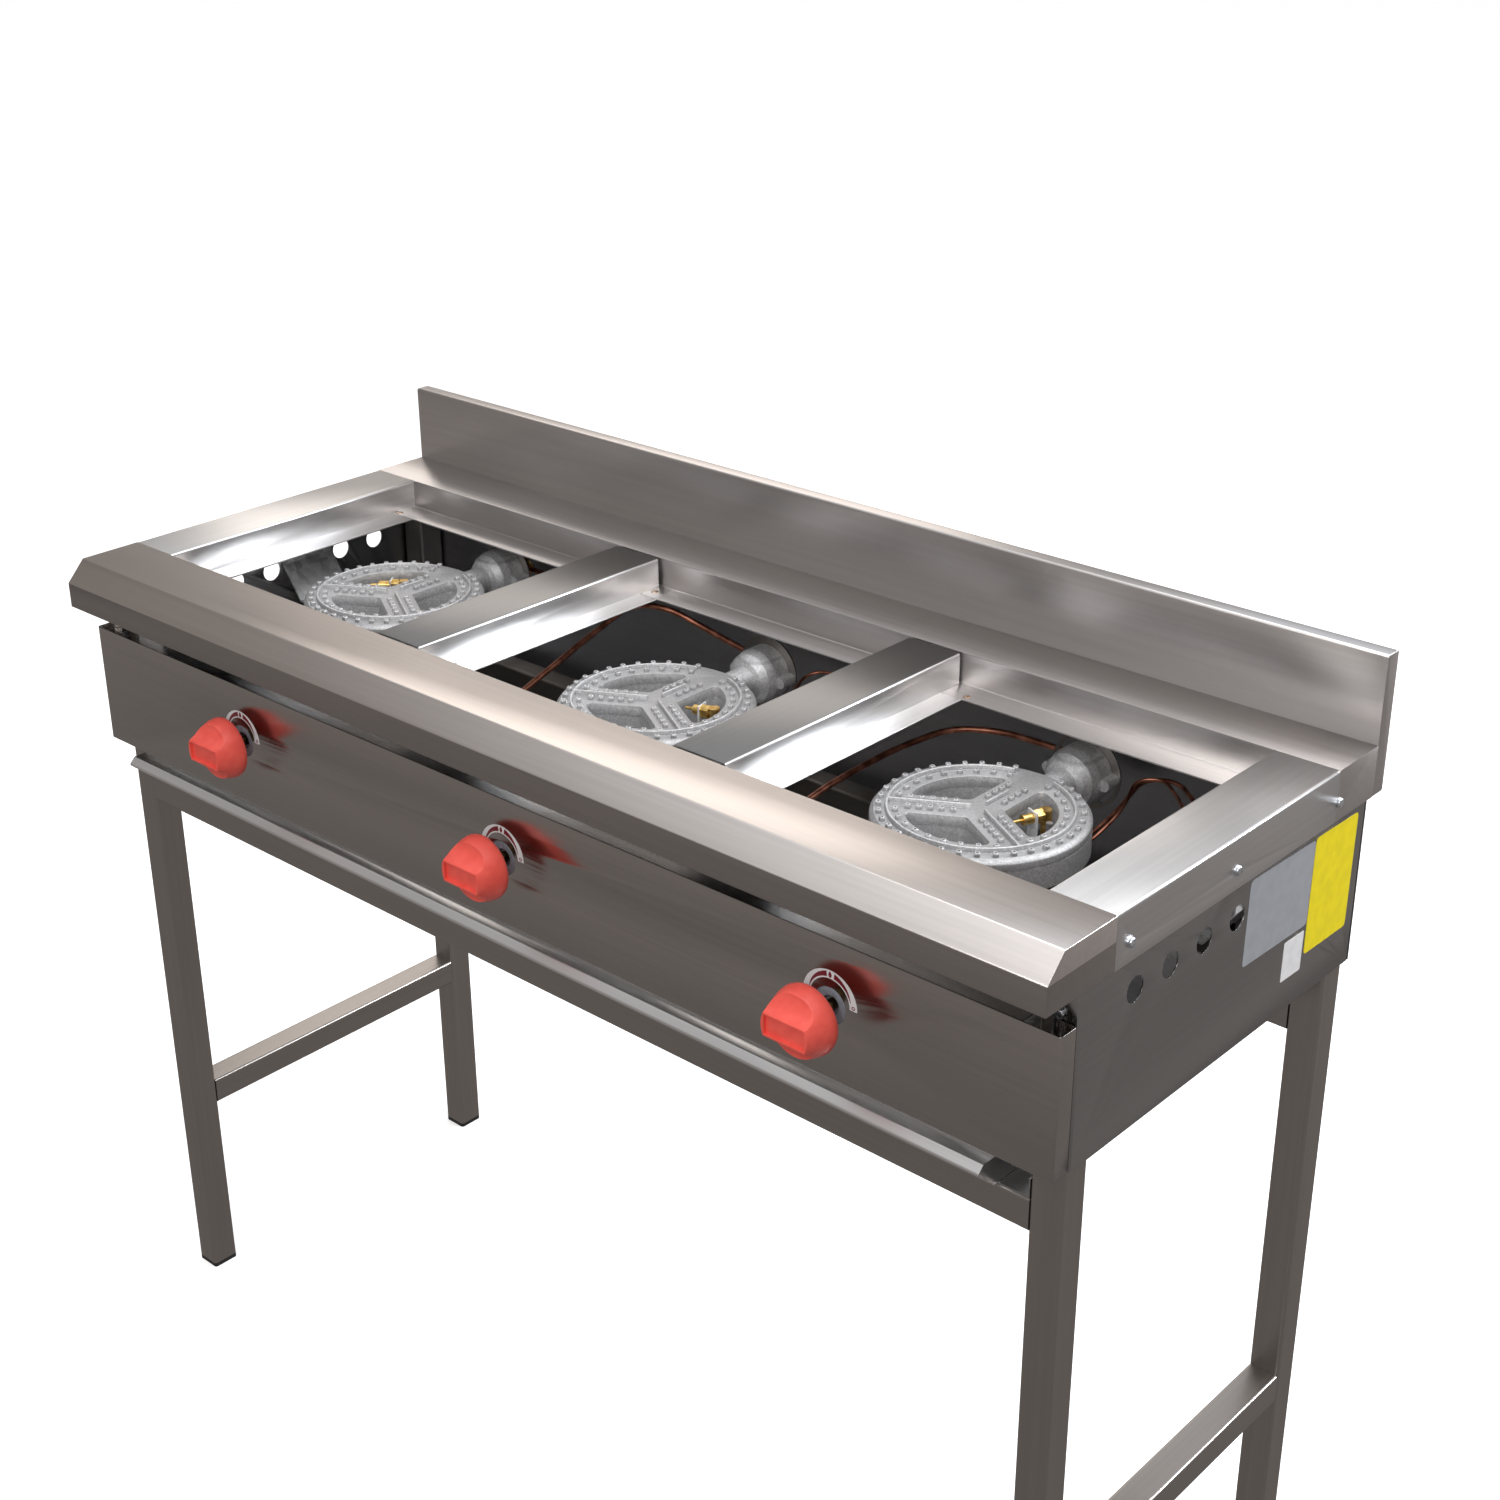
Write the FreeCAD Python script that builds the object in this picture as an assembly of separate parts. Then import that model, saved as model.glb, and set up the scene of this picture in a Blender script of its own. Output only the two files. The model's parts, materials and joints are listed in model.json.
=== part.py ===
"""Three-burner open-top gas wok range.

Millimetres, +Z up, X to the right and Y to the back as the cook stands in front of it.
Heights are above the floor.  Depths in this file are measured back from the front face of
the nosing; the finished solids are shifted so that the origin is the centre of the bounding
box on the floor.
"""
import FreeCAD, Part
import math
import os

V = FreeCAD.Vector
X_AXIS = V(1, 0, 0)
Y_AXIS = V(0, 1, 0)
Z_AXIS = V(0, 0, 1)

# ---------------------------------------------------------------- overall sizes
WORK_HEIGHT = 880.0
BAY_WIDTH = 320.0
BAY_DEPTH = 320.0
FRONT_RAIL_DEPTH = 85.0
LEDGE_DEPTH = 63.0
MID_BAR_WIDTH = 60.0
END_BAR_WIDTH = 60.0
SPLASH_THICKNESS = 17.0
SPLASH_HEIGHT = 80.5

# ---------------------------------------------------------------- sheet metal
TOP_SHEET = 1.5
BODY_SHEET = 1.2
BRACKET_SHEET = 2.0
BEND_RADIUS = 1.0
NOSE_RUN = 20.0
NOSE_DROP = 21.0
SKIRT_DROP = 46.5
SEAT_DROP = 30.0
SEAT_FLANGE = 30.0
BAR_FLANGE = 23.0
BAR_END_GAP = 3.0
WELD_GAP = 0.3
SIDE_GAP = 0.3

# ---------------------------------------------------------------- stand
TUBE = 30.0
TUBE_WALL = 1.5
TUBE_CORNER = 3.0
LEG_SET_IN = 6.0
LEG_SET_BACK = 46.4
REAR_OVERHANG = 25.0
FOOT_FLANGE = 5.0
FOOT_PLUG_DEPTH = 22.0
FOOT_CLEARANCE = 0.1
TOP_RAIL_DROP = 270.0
LOW_RAIL_Z = 215.0

# ---------------------------------------------------------------- body panels
PANEL_BOTTOM_DROP = 200.0
BACK_RAIL_LAP = 20.0
SIDE_PANEL_TOP_DROP = 14.0
SIDE_FLANGE = 22.0
SIDE_HEM = 12.0
VENT_DIAMETER = 22.0
VENT_COUNT = 7
VENT_PITCH = 47.7
VENT_BEHIND_RAIL = 33.0
VENT_DROP = 75.7
CONTROL_FACE_Y = 25.0
CONTROL_SET_IN = 2.5
CONTROL_BOTTOM_DROP = 199.0
CONTROL_TOP_DROP = 74.5
CONTROL_TAB = 15.0
CONTROL_TOP_FLANGE = 38.0
STEM_HOLE_DIAMETER = 32.0
SCREW_ACCESS_MARGIN = 1.0

# ---------------------------------------------------------------- screws
SCREW_DIAMETER = 4.0
SCREW_HEAD_DIAMETER = 8.4
SCREW_HEAD_HEIGHT = 2.6
SCREW_LENGTH = 11.0
SCREW_HOLE_CLEARANCE = 0.15
SKIRT_SCREW_DROP = 30.0
FIRST_SKIRT_SCREW = 20.0
MIDDLE_SKIRT_SCREW = 7.0
LAST_SKIRT_SCREW = 4.0
LOW_SCREW_DROP = 180.0
FRONT_SCREW_DROP = 69.0
FRONT_SCREW_IN = 16.0
BACK_SCREW_DROP = 60.0
HEAD_EDGE_SHARE = 0.6

# ---------------------------------------------------------------- drip tray
TRAY_SHEET = 1.2
TRAY_LEFT_PLAY = 2.0
TRAY_RIGHT_PLAY = 29.0
TRAY_FRONT_Y = 40.0
TRAY_REAR_GAP = 5.0
TRAY_HEIGHT = 30.0
TRAY_RUN_GAP = 0.3
HANDLE_REACH = 21.0
HANDLE_TOP_DROP = 4.0
HANDLE_SLOPE = 7.0
RUNNER_WIDTH = 40.0
RUNNER_THICKNESS = 2.0
RUNNER_GUIDE_HEIGHT = 18.0

# ---------------------------------------------------------------- burners
BURNER_ASIDE = {"left": -31.5, "middle": -10.0, "right": -26.5}
BURNER_FORWARD = {"left": 141.0, "middle": 163.0, "right": 148.0}
BURNER_DROP = 60.0
RING_OUTER_R = 93.5
RING_TOP_R = 90.0
RING_EDGE_DROP = 4.0
RING_BASE_R = 88.0
RING_OPENING_R = 65.0
SPOKE_WIDTH = 34.0
SPOKE_ANGLES = (90.0, 210.0, 330.0)
OPENING_CORNER_R = 5.0
HEAD_HEIGHT = 11.0
CASTING_HEIGHT = 36.0
RIB_R = 79.0
RIB_WIDTH = 2.2
RIB_HEIGHT = 4.5
RIB_GAP_HALF_WIDTH = 20.0
SPOKE_RIB_START = 8.0
NECK_RADIUS = 14.5
NECK_BORE_RADIUS = 11.0
NECK_DROP = 20.0
NECK_START = 80.0
NECK_BORE_START = 101.0
BELL_START = 121.0
BELL_RADIUS = 27.5
BELL_WALL = 3.0
BELL_CURVE = ((0.12, 0.45), (0.5, 0.82))
MOUTH_Y = 157.0
WINDOW_COUNT = 3
WINDOW_RADIUS = 7.5
WINDOW_CIRCLE_R = 15.0
EAR_OFFSET = 30.0
EAR_RADIUS = 5.5
EAR_LENGTH = 17.0
EAR_ROOT = 1.0
FOOT_PAD_WIDTH = 24.0
FOOT_PAD_MARGIN = 7.0
FOOT_SLOT_WIDTH = 9.0
FOOT_SLOT_SPARE = 1.0

# ---------------------------------------------------------------- air shutters
SHUTTER_RADIUS = 36.0
SHUTTER_THICKNESS = 1.5
SHUTTER_GAP = 0.3
SHUTTER_TURN = 55.0
SHUTTER_CENTRE_HOLE_R = 7.0
SHUTTER_SLOT_CLEARANCE = 0.3

# ---------------------------------------------------------------- injectors
INJECTOR_TIP_R = 3.5
INJECTOR_TIP_LENGTH = 12.0
INJECTOR_SHANK_R = 5.0
INJECTOR_FIT = 0.05
INJECTOR_HEX = 14.0
INJECTOR_HEX_LENGTH = 7.0
INJECTOR_ELBOW_R = 8.0
INJECTOR_SET_BACK = 22.0
INJECTOR_PORT_REACH = 14.0
INJECTOR_PORT_R = 6.0

# ---------------------------------------------------------------- burner beam
BEAM_TUBE = 25.0
BEAM_FORWARD = 104.0
BEAM_DROP = 16.0
BRACKET_OFFSET = -8.0
BEAM_END_GAP = 28.0
BRACKET_WIDTH = 66.0
BRACKET_TOP_DROP = 51.0
BRACKET_FOLD_DROP = 73.0
BRACKET_FOOT = 40.0
BURNER_BOLT_DIAMETER = 8.0
BURNER_BOLT_HEAD = 13.0
BURNER_BOLT_HEAD_HEIGHT = 5.3
BURNER_BOLT_REACH = 10.0
BURNER_BOLT_SPARE = 2.0
BEAM_BOLT_CLEARANCE = 0.5

# ---------------------------------------------------------------- gas pipe and taps
KNOB_ASIDE = {"left": 18.0, "middle": 11.0, "right": 4.5}
KNOB_DROP = 133.0
PIPE_OD = 21.3
PIPE_WALL = 2.65
PIPE_Y = 56.5
PIPE_BELOW_KNOBS = 36.0
PIPE_PAST_TAP = 64.0
PIPE_SET_IN = 120.0
PIPE_BEND_R = 45.0
PIPE_HOLE_CLEARANCE = 0.6
INLET_THREAD_R = 10.48
INLET_THREAD_LENGTH = 15.0
INLET_BORE_R = 8.0
INLET_HEX = 27.0
INLET_HEX_LENGTH = 6.0
TAP_WIDTH = 26.0
TAP_REAR_Y = 68.0
TAP_HEIGHT = 28.0
TAP_NECK_R = 11.0
TAP_NECK_LENGTH = 5.0
TAP_PLATE = 46.0
TAP_PLATE_THICKNESS = 1.5
TAP_RECESS_R = 8.5
TAP_RECESS_DEPTH = 4.0
TAP_BOSS_R = 8.0
TAP_SADDLE_CLEARANCE = 0.05
TAP_PORT_OFFSET = 7.5
TAP_PORT_RISE = 8.0

# ---------------------------------------------------------------- knobs and stems
KNOB_RADIUS = 30.5
KNOB_EDGE_INSET = 0.8
KNOB_EDGE_DEPTH = 3.0
KNOB_SKIRT = 9.0
KNOB_REARS = {"left": 8.0, "middle": 5.0, "right": 0.0}
KNOB_DEPTH = 29.5
WING_WIDTH = 46.5
WING_THICKNESS = 20.0
SCOOP_RADIUS = 16.0
SCOOP_FLOOR = 16.0
WING_POCKET_RIM = 1.6
WING_POCKET_DEPTH = 3.0
KNOB_HUB_R = 10.0
KNOB_WALL = 3.0
KNOB_CAVITY_DEPTH = 7.0
STEM_RADIUS = 5.0
STEM_RUN_CLEARANCE = 0.06
STEM_IN_KNOB = 14.0
STEM_REAR_Y = 40.0
PUSH_TRAVEL = 3.0
PLUNGER_RADIUS = 2.5
PLUNGER_LENGTH = 20.0
PLUNGER_GAP = 0.3
TAP_BORE_SPARE = 1.5

# ---------------------------------------------------------------- pilots and small tubes
PILOT_BACK = {"left": (-24.0, 32.0), "middle": (50.0, 25.0), "right": (39.0, 39.0)}
PILOT_TIP = {"left": (-52.0, 11.0), "middle": (21.0, 18.0), "right": (27.0, 9.0)}
PILOT_DROP = 7.0
PILOT_BARREL_R = 4.6
PILOT_HEX = 12.0
PILOT_HEX_LENGTH = 8.0
PILOT_ELBOW_R = 5.5
PILOT_ELBOW_HALF = 5.5
PILOT_NEEDLE_R = 1.5
PILOT_NEEDLE_LENGTH = 9.0
PILOT_INLET_DROP = 17.0
PILOT_INLET_R = 4.0
PROBE_REL = {"left": (-35.0, 37.0), "middle": (38.0, 35.0), "right": (50.0, 29.0)}
PROBE_RADIUS = 3.0
PROBE_HEIGHT = 32.0
CLIP_THICKNESS = 1.5
CLIP_WIDTH = 14.0
CLIP_RISE = 6.5
CLIP_FIT = 0.05
CLIP_NOTCH = 0.5
CLIP_REACH = 10.0
FEED_TUBE_R = 3.0
PILOT_TUBE_R = 2.0
LEAD_R = 1.5
BEND_SHARE = 0.45
TAP_STRAIGHT = 30.0
FEED_STRAIGHT = 28.0
PILOT_STRAIGHT = 20.0
LEAD_STRAIGHT = 6.0

# ---------------------------------------------------------------- worked-out places
CUT_SPARE = 1.0
BAY_PITCH = BAY_WIDTH + MID_BAR_WIDTH
BAY_XS = {"left": -BAY_PITCH, "middle": 0.0, "right": BAY_PITCH}
TOP_WIDTH = 2 * BAY_PITCH + BAY_WIDTH + 2 * END_BAR_WIDTH
TOP_HALF = TOP_WIDTH / 2
TOP_DEPTH = FRONT_RAIL_DEPTH + BAY_DEPTH + LEDGE_DEPTH + SPLASH_THICKNESS
LEDGE_Y = FRONT_RAIL_DEPTH + BAY_DEPTH
SPLASH_Y = LEDGE_Y + LEDGE_DEPTH
SEAT_Z = WORK_HEIGHT - SEAT_DROP
SKIRT_Z = WORK_HEIGHT - SKIRT_DROP
BAR_CENTRE = BAY_PITCH / 2
LEG_OUT = TOP_HALF - LEG_SET_IN
LEG_IN = LEG_OUT - TUBE
LEG_REAR = TOP_DEPTH - REAR_OVERHANG
LEG_TOP_Z = WORK_HEIGHT - TOP_SHEET
SIDE_OUT = TOP_HALF - TOP_SHEET - SIDE_GAP
SIDE_IN = SIDE_OUT - BODY_SHEET
BODY_FRONT = LEG_SET_BACK - BODY_SHEET
BODY_REAR = LEG_REAR + BODY_SHEET
CONTROL_OUT = TOP_HALF - CONTROL_SET_IN
PANEL_BOTTOM_Z = WORK_HEIGHT - PANEL_BOTTOM_DROP
SIDE_PANEL_TOP_Z = WORK_HEIGHT - SIDE_PANEL_TOP_DROP
VENT_FIRST_Y = FRONT_RAIL_DEPTH + VENT_BEHIND_RAIL
VENT_Z = WORK_HEIGHT - VENT_DROP
CONTROL_BOTTOM_Z = WORK_HEIGHT - CONTROL_BOTTOM_DROP
CONTROL_TOP_Z = WORK_HEIGHT - CONTROL_TOP_DROP
SKIRT_SCREW_Z = WORK_HEIGHT - SKIRT_SCREW_DROP
SKIRT_SCREW_YS = (FRONT_RAIL_DEPTH + FIRST_SKIRT_SCREW, FRONT_RAIL_DEPTH + BAY_DEPTH / 2 + MIDDLE_SKIRT_SCREW,
                  LEDGE_Y + LAST_SKIRT_SCREW)
FRONT_SCREW_ZS = (WORK_HEIGHT - LOW_SCREW_DROP, WORK_HEIGHT - FRONT_SCREW_DROP)
BACK_SCREW_ZS = (WORK_HEIGHT - LOW_SCREW_DROP, WORK_HEIGHT - BACK_SCREW_DROP)
TOP_RAIL_Z = WORK_HEIGHT - TOP_RAIL_DROP
RUNNER_Z = TOP_RAIL_Z + TUBE
BACK_BOTTOM_Z = TOP_RAIL_Z + TUBE - BACK_RAIL_LAP
TRAY_Z = RUNNER_Z + RUNNER_THICKNESS + TRAY_RUN_GAP
TRAY_TOP_Z = TRAY_Z + TRAY_HEIGHT
TRAY_LEFT_X = -LEG_IN + TRAY_LEFT_PLAY
TRAY_WIDTH = 2 * LEG_IN - TRAY_LEFT_PLAY - TRAY_RIGHT_PLAY
BURNER_PLACES = {name: (BAY_XS[name] + aside, LEDGE_Y - BURNER_FORWARD[name])
                 for name, aside in BURNER_ASIDE.items()}
BURNER_TOP_Z = WORK_HEIGHT - BURNER_DROP
BEAM_Y = LEDGE_Y - BEAM_FORWARD
BRACKET_TOP_Z = WORK_HEIGHT - BRACKET_TOP_DROP
BRACKET_FOLD_Z = WORK_HEIGHT - BRACKET_FOLD_DROP
KNOB_XS = {name: BAY_XS[name] + aside for name, aside in KNOB_ASIDE.items()}
KNOB_Z = WORK_HEIGHT - KNOB_DROP
PIPE_Z = KNOB_Z - PIPE_BELOW_KNOBS
PIPE_LEFT_X = KNOB_XS["left"] - PIPE_PAST_TAP
PIPE_BEND_X = TOP_HALF - PIPE_SET_IN
CASTING_BASE_Z = BURNER_TOP_Z - CASTING_HEIGHT
HEAD_JOINT_Z = BURNER_TOP_Z - HEAD_HEIGHT
NECK_Z = BURNER_TOP_Z - NECK_DROP
BEAM_TOP_Z = CASTING_BASE_Z - BEAM_DROP
PILOT_Z = BURNER_TOP_Z - PILOT_DROP
FRONT_REACH = min(KNOB_REARS.values()) - KNOB_DEPTH
ORIGIN_Y = (FRONT_REACH + TOP_DEPTH) / 2
PIPE_END_Y = BODY_REAR + 2 * BODY_SHEET
SLOT_START = BEAM_Y - max(y for _, y in BURNER_PLACES.values()) - FOOT_SLOT_WIDTH / 2 - FOOT_SLOT_SPARE
SLOT_END = BEAM_Y - min(y for _, y in BURNER_PLACES.values()) + FOOT_SLOT_WIDTH / 2 + FOOT_SLOT_SPARE
SIDES = {"left": -1, "right": 1}
FEED_SIDE = {"left": 1, "middle": -1, "right": -1}


# ---------------------------------------------------------------- helpers
def block(x_range, y_range, z_range):
    """A box between two limits on each axis."""
    size = [high - low for low, high in (x_range, y_range, z_range)]
    return Part.makeBox(*size, V(x_range[0], y_range[0], z_range[0]))


def rod(radius, length, start, direction):
    """A cylinder from a start point along a direction."""
    return Part.makeCylinder(radius, length, V(*start), direction)


def hexagon(across_flats, length, start, direction):
    """A hexagonal bar with its axis along a direction."""
    corner_r = across_flats / math.sqrt(3)
    across = V(0, 0, 1) if abs(direction.z) < 0.5 else V(1, 0, 0)
    side = direction.cross(across)
    points = []
    for step in range(7):
        angle = math.radians(60 * step)
        points.append(V(*start) + across * corner_r * math.cos(angle) + side * corner_r * math.sin(angle))
    return Part.Face(Part.makePolygon(points)).extrude(direction * length)


def offset_line(points, distance):
    """The polyline moved to its left by a distance, with mitred corners."""
    moved = []
    normals = []
    for (u0, w0), (u1, w1) in zip(points, points[1:]):
        length = math.hypot(u1 - u0, w1 - w0)
        normals.append((-(w1 - w0) / length, (u1 - u0) / length))
    for index, (u, w) in enumerate(points):
        before = normals[max(index - 1, 0)]
        after = normals[min(index, len(normals) - 1)]
        scale = 1 + before[0] * after[0] + before[1] * after[1]
        moved.append((u + distance * (before[0] + after[0]) / scale,
                      w + distance * (before[1] + after[1]) / scale))
    return moved


def turns_left(before, corner, after):
    """True where a polyline turns to its left at a corner."""
    run_in = (corner[0] - before[0], corner[1] - before[1])
    run_out = (after[0] - corner[0], after[1] - corner[1])
    return run_in[0] * run_out[1] - run_in[1] * run_out[0] > 0


def rounded_face(outline, radii, to_space):
    """A flat face inside a closed outline whose corners have the given radii (0 keeps one sharp)."""
    count = len(outline)
    starts = []
    ends = []
    edges = []
    for index, corner in enumerate(outline):
        here = to_space(*corner)
        to_before = (to_space(*outline[index - 1]) - here).normalize()
        to_after = (to_space(*outline[(index + 1) % count]) - here).normalize()
        half_turn = (math.pi - to_before.getAngle(to_after)) / 2
        cut = radii[index] * math.tan(half_turn)
        starts.append(here + to_before * cut)
        ends.append(here + to_after * cut)
        if radii[index] > 0:
            inward = (to_before + to_after).normalize()
            middle = here + inward * (radii[index] / math.cos(half_turn) - radii[index])
            edges.append(Part.Arc(starts[-1], middle, ends[-1]).toShape())
    for index in range(count):
        edges.append(Part.LineSegment(ends[index - 1], starts[index]).toShape())
    return Part.Face(Part.Wire(Part.__sortEdges__(edges)))


def folded_sheet(points, thickness, to_space, sweep):
    """A sheet bent along a polyline and swept straight; its body lies left of the line."""
    line_radii = [0.0]
    offset_radii = [0.0]
    for before, corner, after in zip(points, points[1:], points[2:]):
        inside_left = turns_left(before, corner, after)
        line_radii.append(BEND_RADIUS + thickness if inside_left else BEND_RADIUS)
        offset_radii.append(BEND_RADIUS if inside_left else BEND_RADIUS + thickness)
    outline = points + offset_line(points, thickness)[::-1]
    radii = line_radii + [0.0, 0.0] + offset_radii[::-1]
    return rounded_face(outline, radii, to_space).extrude(sweep)


def fused(shapes):
    """One solid from touching shapes."""
    whole = shapes[0].multiFuse(shapes[1:]) if len(shapes) > 1 else shapes[0]
    return whole.removeSplitter()


def mirrored_x(shape):
    """The shape on the other side of the middle plane."""
    return shape.mirror(V(0, 0, 0), X_AXIS)


def square_tube(start, length, direction, size, wall):
    """A square tube: start is its lowest corner and direction one of the three axes."""
    spans = [size, size, size]
    inner = [size - 2 * wall] * 3
    shift = [wall] * 3
    axis = (abs(direction.x), abs(direction.y), abs(direction.z)).index(1)
    spans[axis] = length
    inner[axis] = length
    shift[axis] = 0
    outer = eased(Part.makeBox(*spans, V(*start)), direction, TUBE_CORNER)
    bore = eased(Part.makeBox(*inner, V(*start) + V(*shift)), direction, TUBE_CORNER - wall)
    return outer.cut(bore)


def eased(solid, direction, radius):
    """The solid with its edges along a direction rounded."""
    along = [edge for edge in solid.Edges
             if abs(edge.tangentAt(edge.FirstParameter).dot(direction)) > 0.99]
    return solid.makeFillet(radius, along)


def routed_tube(points, radius):
    """A round tube through a list of points, its corners eased by tangent arcs."""
    places = [V(*point) for point in points]
    edges = []
    last = places[0]
    for before, corner, after in zip(places, places[1:], places[2:]):
        run_in = corner - before
        run_out = after - corner
        turn = run_in.getAngle(run_out)
        cut = BEND_SHARE * min(run_in.Length, run_out.Length)
        arc_start = corner - V(run_in).normalize() * cut
        arc_end = corner + V(run_out).normalize() * cut
        bend_r = cut / math.tan(turn / 2)
        inward = (V(run_out).normalize() - V(run_in).normalize()).normalize()
        arc_mid = corner + inward * (bend_r / math.cos(turn / 2) - bend_r)
        edges.append(Part.LineSegment(last, arc_start).toShape())
        edges.append(Part.Arc(arc_start, arc_mid, arc_end).toShape())
        last = arc_end
    edges.append(Part.LineSegment(last, places[-1]).toShape())
    path = Part.Wire(edges)
    profile = Part.Wire(Part.makeCircle(radius, places[0], places[1] - places[0]))
    tube = path.makePipeShell([profile], True, False)
    expected = math.pi * radius ** 2 * path.Length
    print("tube length %.0f, volume ratio %.4f" % (path.Length, tube.Volume / expected))
    return tube


def pan_screw(tip, direction, length):
    """A pan-head screw: tip is the point under the head, direction points into the work."""
    shank = rod(SCREW_DIAMETER / 2, length, tip, direction)
    head = rod(SCREW_HEAD_DIAMETER / 2, SCREW_HEAD_HEIGHT, V(*tip) - direction * SCREW_HEAD_HEIGHT, direction)
    far_ring = [edge for edge in head.Edges if edge.Closed and near_plane(edge, tip, direction)]
    head = head.makeFillet(SCREW_HEAD_HEIGHT * HEAD_EDGE_SHARE, far_ring)
    return fused([head, shank])


def near_plane(edge, tip, direction):
    """True for the rim of a screw head that stands away from the work."""
    middle = edge.BoundBox.Center
    return (middle - V(*tip)).dot(direction) < -SCREW_HEAD_HEIGHT / 2


def screw_hole(tip, direction, depth):
    """The clearance hole of a pan-head screw, as a cutting tool."""
    radius = SCREW_DIAMETER / 2 + SCREW_HOLE_CLEARANCE
    return rod(radius, 2 * depth, V(*tip) - direction * depth, direction)


def group(shapes):
    """Separate solids that share one node."""
    return Part.makeCompound(shapes)


# ---------------------------------------------------------------- stand
def leg(side, front):
    x = LEG_IN if side > 0 else -LEG_OUT
    y = LEG_SET_BACK if front else LEG_REAR - TUBE
    tube = square_tube((x, y, FOOT_FLANGE), LEG_TOP_Z - FOOT_FLANGE, Z_AXIS, TUBE, TUBE_WALL)
    screws = FRONT_SCREW_ZS if front else BACK_SCREW_ZS
    for z in screws:
        tip = (side * (SIDE_OUT - FRONT_SCREW_IN), y if front else LEG_REAR, z)
        tube = tube.cut(screw_hole(tip, Y_AXIS, TUBE_WALL * 2))
    return tube


def foot_plugs():
    plugs = []
    inner = TUBE - 2 * TUBE_WALL - 2 * FOOT_CLEARANCE
    for side in SIDES.values():
        for y in (LEG_SET_BACK, LEG_REAR - TUBE):
            x = LEG_IN if side > 0 else -LEG_OUT
            flange = eased(block((x, x + TUBE), (y, y + TUBE), (0, FOOT_FLANGE)), Z_AXIS, TUBE_CORNER)
            low = (TUBE - inner) / 2
            body = block((x + low, x + low + inner), (y + low, y + low + inner), (FOOT_FLANGE, FOOT_PLUG_DEPTH))
            body = eased(body, Z_AXIS, TUBE_CORNER - TUBE_WALL)
            plugs.append(fused([flange, body]))
    return group(plugs)


def cross_rail(y):
    return square_tube((-LEG_IN, y, TOP_RAIL_Z), 2 * LEG_IN, X_AXIS, TUBE, TUBE_WALL)


def side_rail(side):
    x = LEG_IN if side > 0 else -LEG_OUT
    start_y = LEG_SET_BACK + TUBE
    return square_tube((x, start_y, LOW_RAIL_Z), LEG_REAR - TUBE - start_y, Y_AXIS, TUBE, TUBE_WALL)


# ---------------------------------------------------------------- top frame
def nose_outline():
    """The front rail's outside seen from its end: skirt, chamfer, top, as (depth, height)."""
    return [(0, SKIRT_Z), (0, WORK_HEIGHT - NOSE_DROP), (NOSE_RUN, WORK_HEIGHT), (FRONT_RAIL_DEPTH, WORK_HEIGHT)]


def end_cap(outline, radii):
    """A flat plate closing the right end of a swept sheet, from an outline in depth and height."""
    return rounded_face(outline, radii, lambda y, z: V(TOP_HALF - TOP_SHEET, y, z)).extrude(X_AXIS * TOP_SHEET)


def top_front_rail():
    reach = TOP_HALF - TOP_SHEET
    shell = folded_sheet(nose_outline()[::-1], TOP_SHEET, lambda y, z: V(-reach, y, z), X_AXIS * 2 * reach)
    seat_half = TOP_HALF - END_BAR_WIDTH
    seat_line = [(FRONT_RAIL_DEPTH + SEAT_FLANGE, SEAT_Z), (FRONT_RAIL_DEPTH, SEAT_Z), (FRONT_RAIL_DEPTH, WORK_HEIGHT)]
    seat = folded_sheet(seat_line, TOP_SHEET, lambda y, z: V(-seat_half, y, z), X_AXIS * 2 * seat_half)
    bend = BEND_RADIUS + TOP_SHEET
    cap = end_cap(nose_outline() + [(FRONT_RAIL_DEPTH, SKIRT_Z)], [0, bend, bend, 0, 0])
    return fused([shell, seat, cap, mirrored_x(cap)])


def skirt_screw_places(side):
    """The side screws: the left panel is the right one turned round, so its screws are too."""
    middle = (BODY_FRONT + BODY_REAR) / 2
    return [y if side > 0 else 2 * middle - y for y in SKIRT_SCREW_YS]


def end_bar(side):
    inner = TOP_HALF - END_BAR_WIDTH
    line = [(TOP_HALF, SKIRT_Z), (TOP_HALF, WORK_HEIGHT), (inner, WORK_HEIGHT), (inner, SEAT_Z - TOP_SHEET)]
    shell = folded_sheet(line, TOP_SHEET, lambda x, z: V(x, FRONT_RAIL_DEPTH, z), Y_AXIS * BAY_DEPTH)
    low = block((inner - SEAT_FLANGE, TOP_HALF - TOP_SHEET), (FRONT_RAIL_DEPTH, LEDGE_Y), (0, SEAT_Z))
    keep = block((inner - SEAT_FLANGE, TOP_HALF), (FRONT_RAIL_DEPTH + SEAT_FLANGE, LEDGE_Y - SEAT_FLANGE), (0, SEAT_Z))
    seat = block((inner - SEAT_FLANGE, inner + TOP_SHEET),
                 (FRONT_RAIL_DEPTH + SEAT_FLANGE, LEDGE_Y - SEAT_FLANGE), (SEAT_Z - TOP_SHEET, SEAT_Z))
    shell = shell.cut(low.cut(keep))
    bar = fused([shell, seat])
    if side < 0:
        bar = mirrored_x(bar)
    for y in skirt_screw_places(side):
        if FRONT_RAIL_DEPTH < y < LEDGE_Y:
            bar = bar.cut(screw_hole((side * TOP_HALF, y, SKIRT_SCREW_Z), V(-side, 0, 0), SCREW_LENGTH))
    return bar


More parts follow.
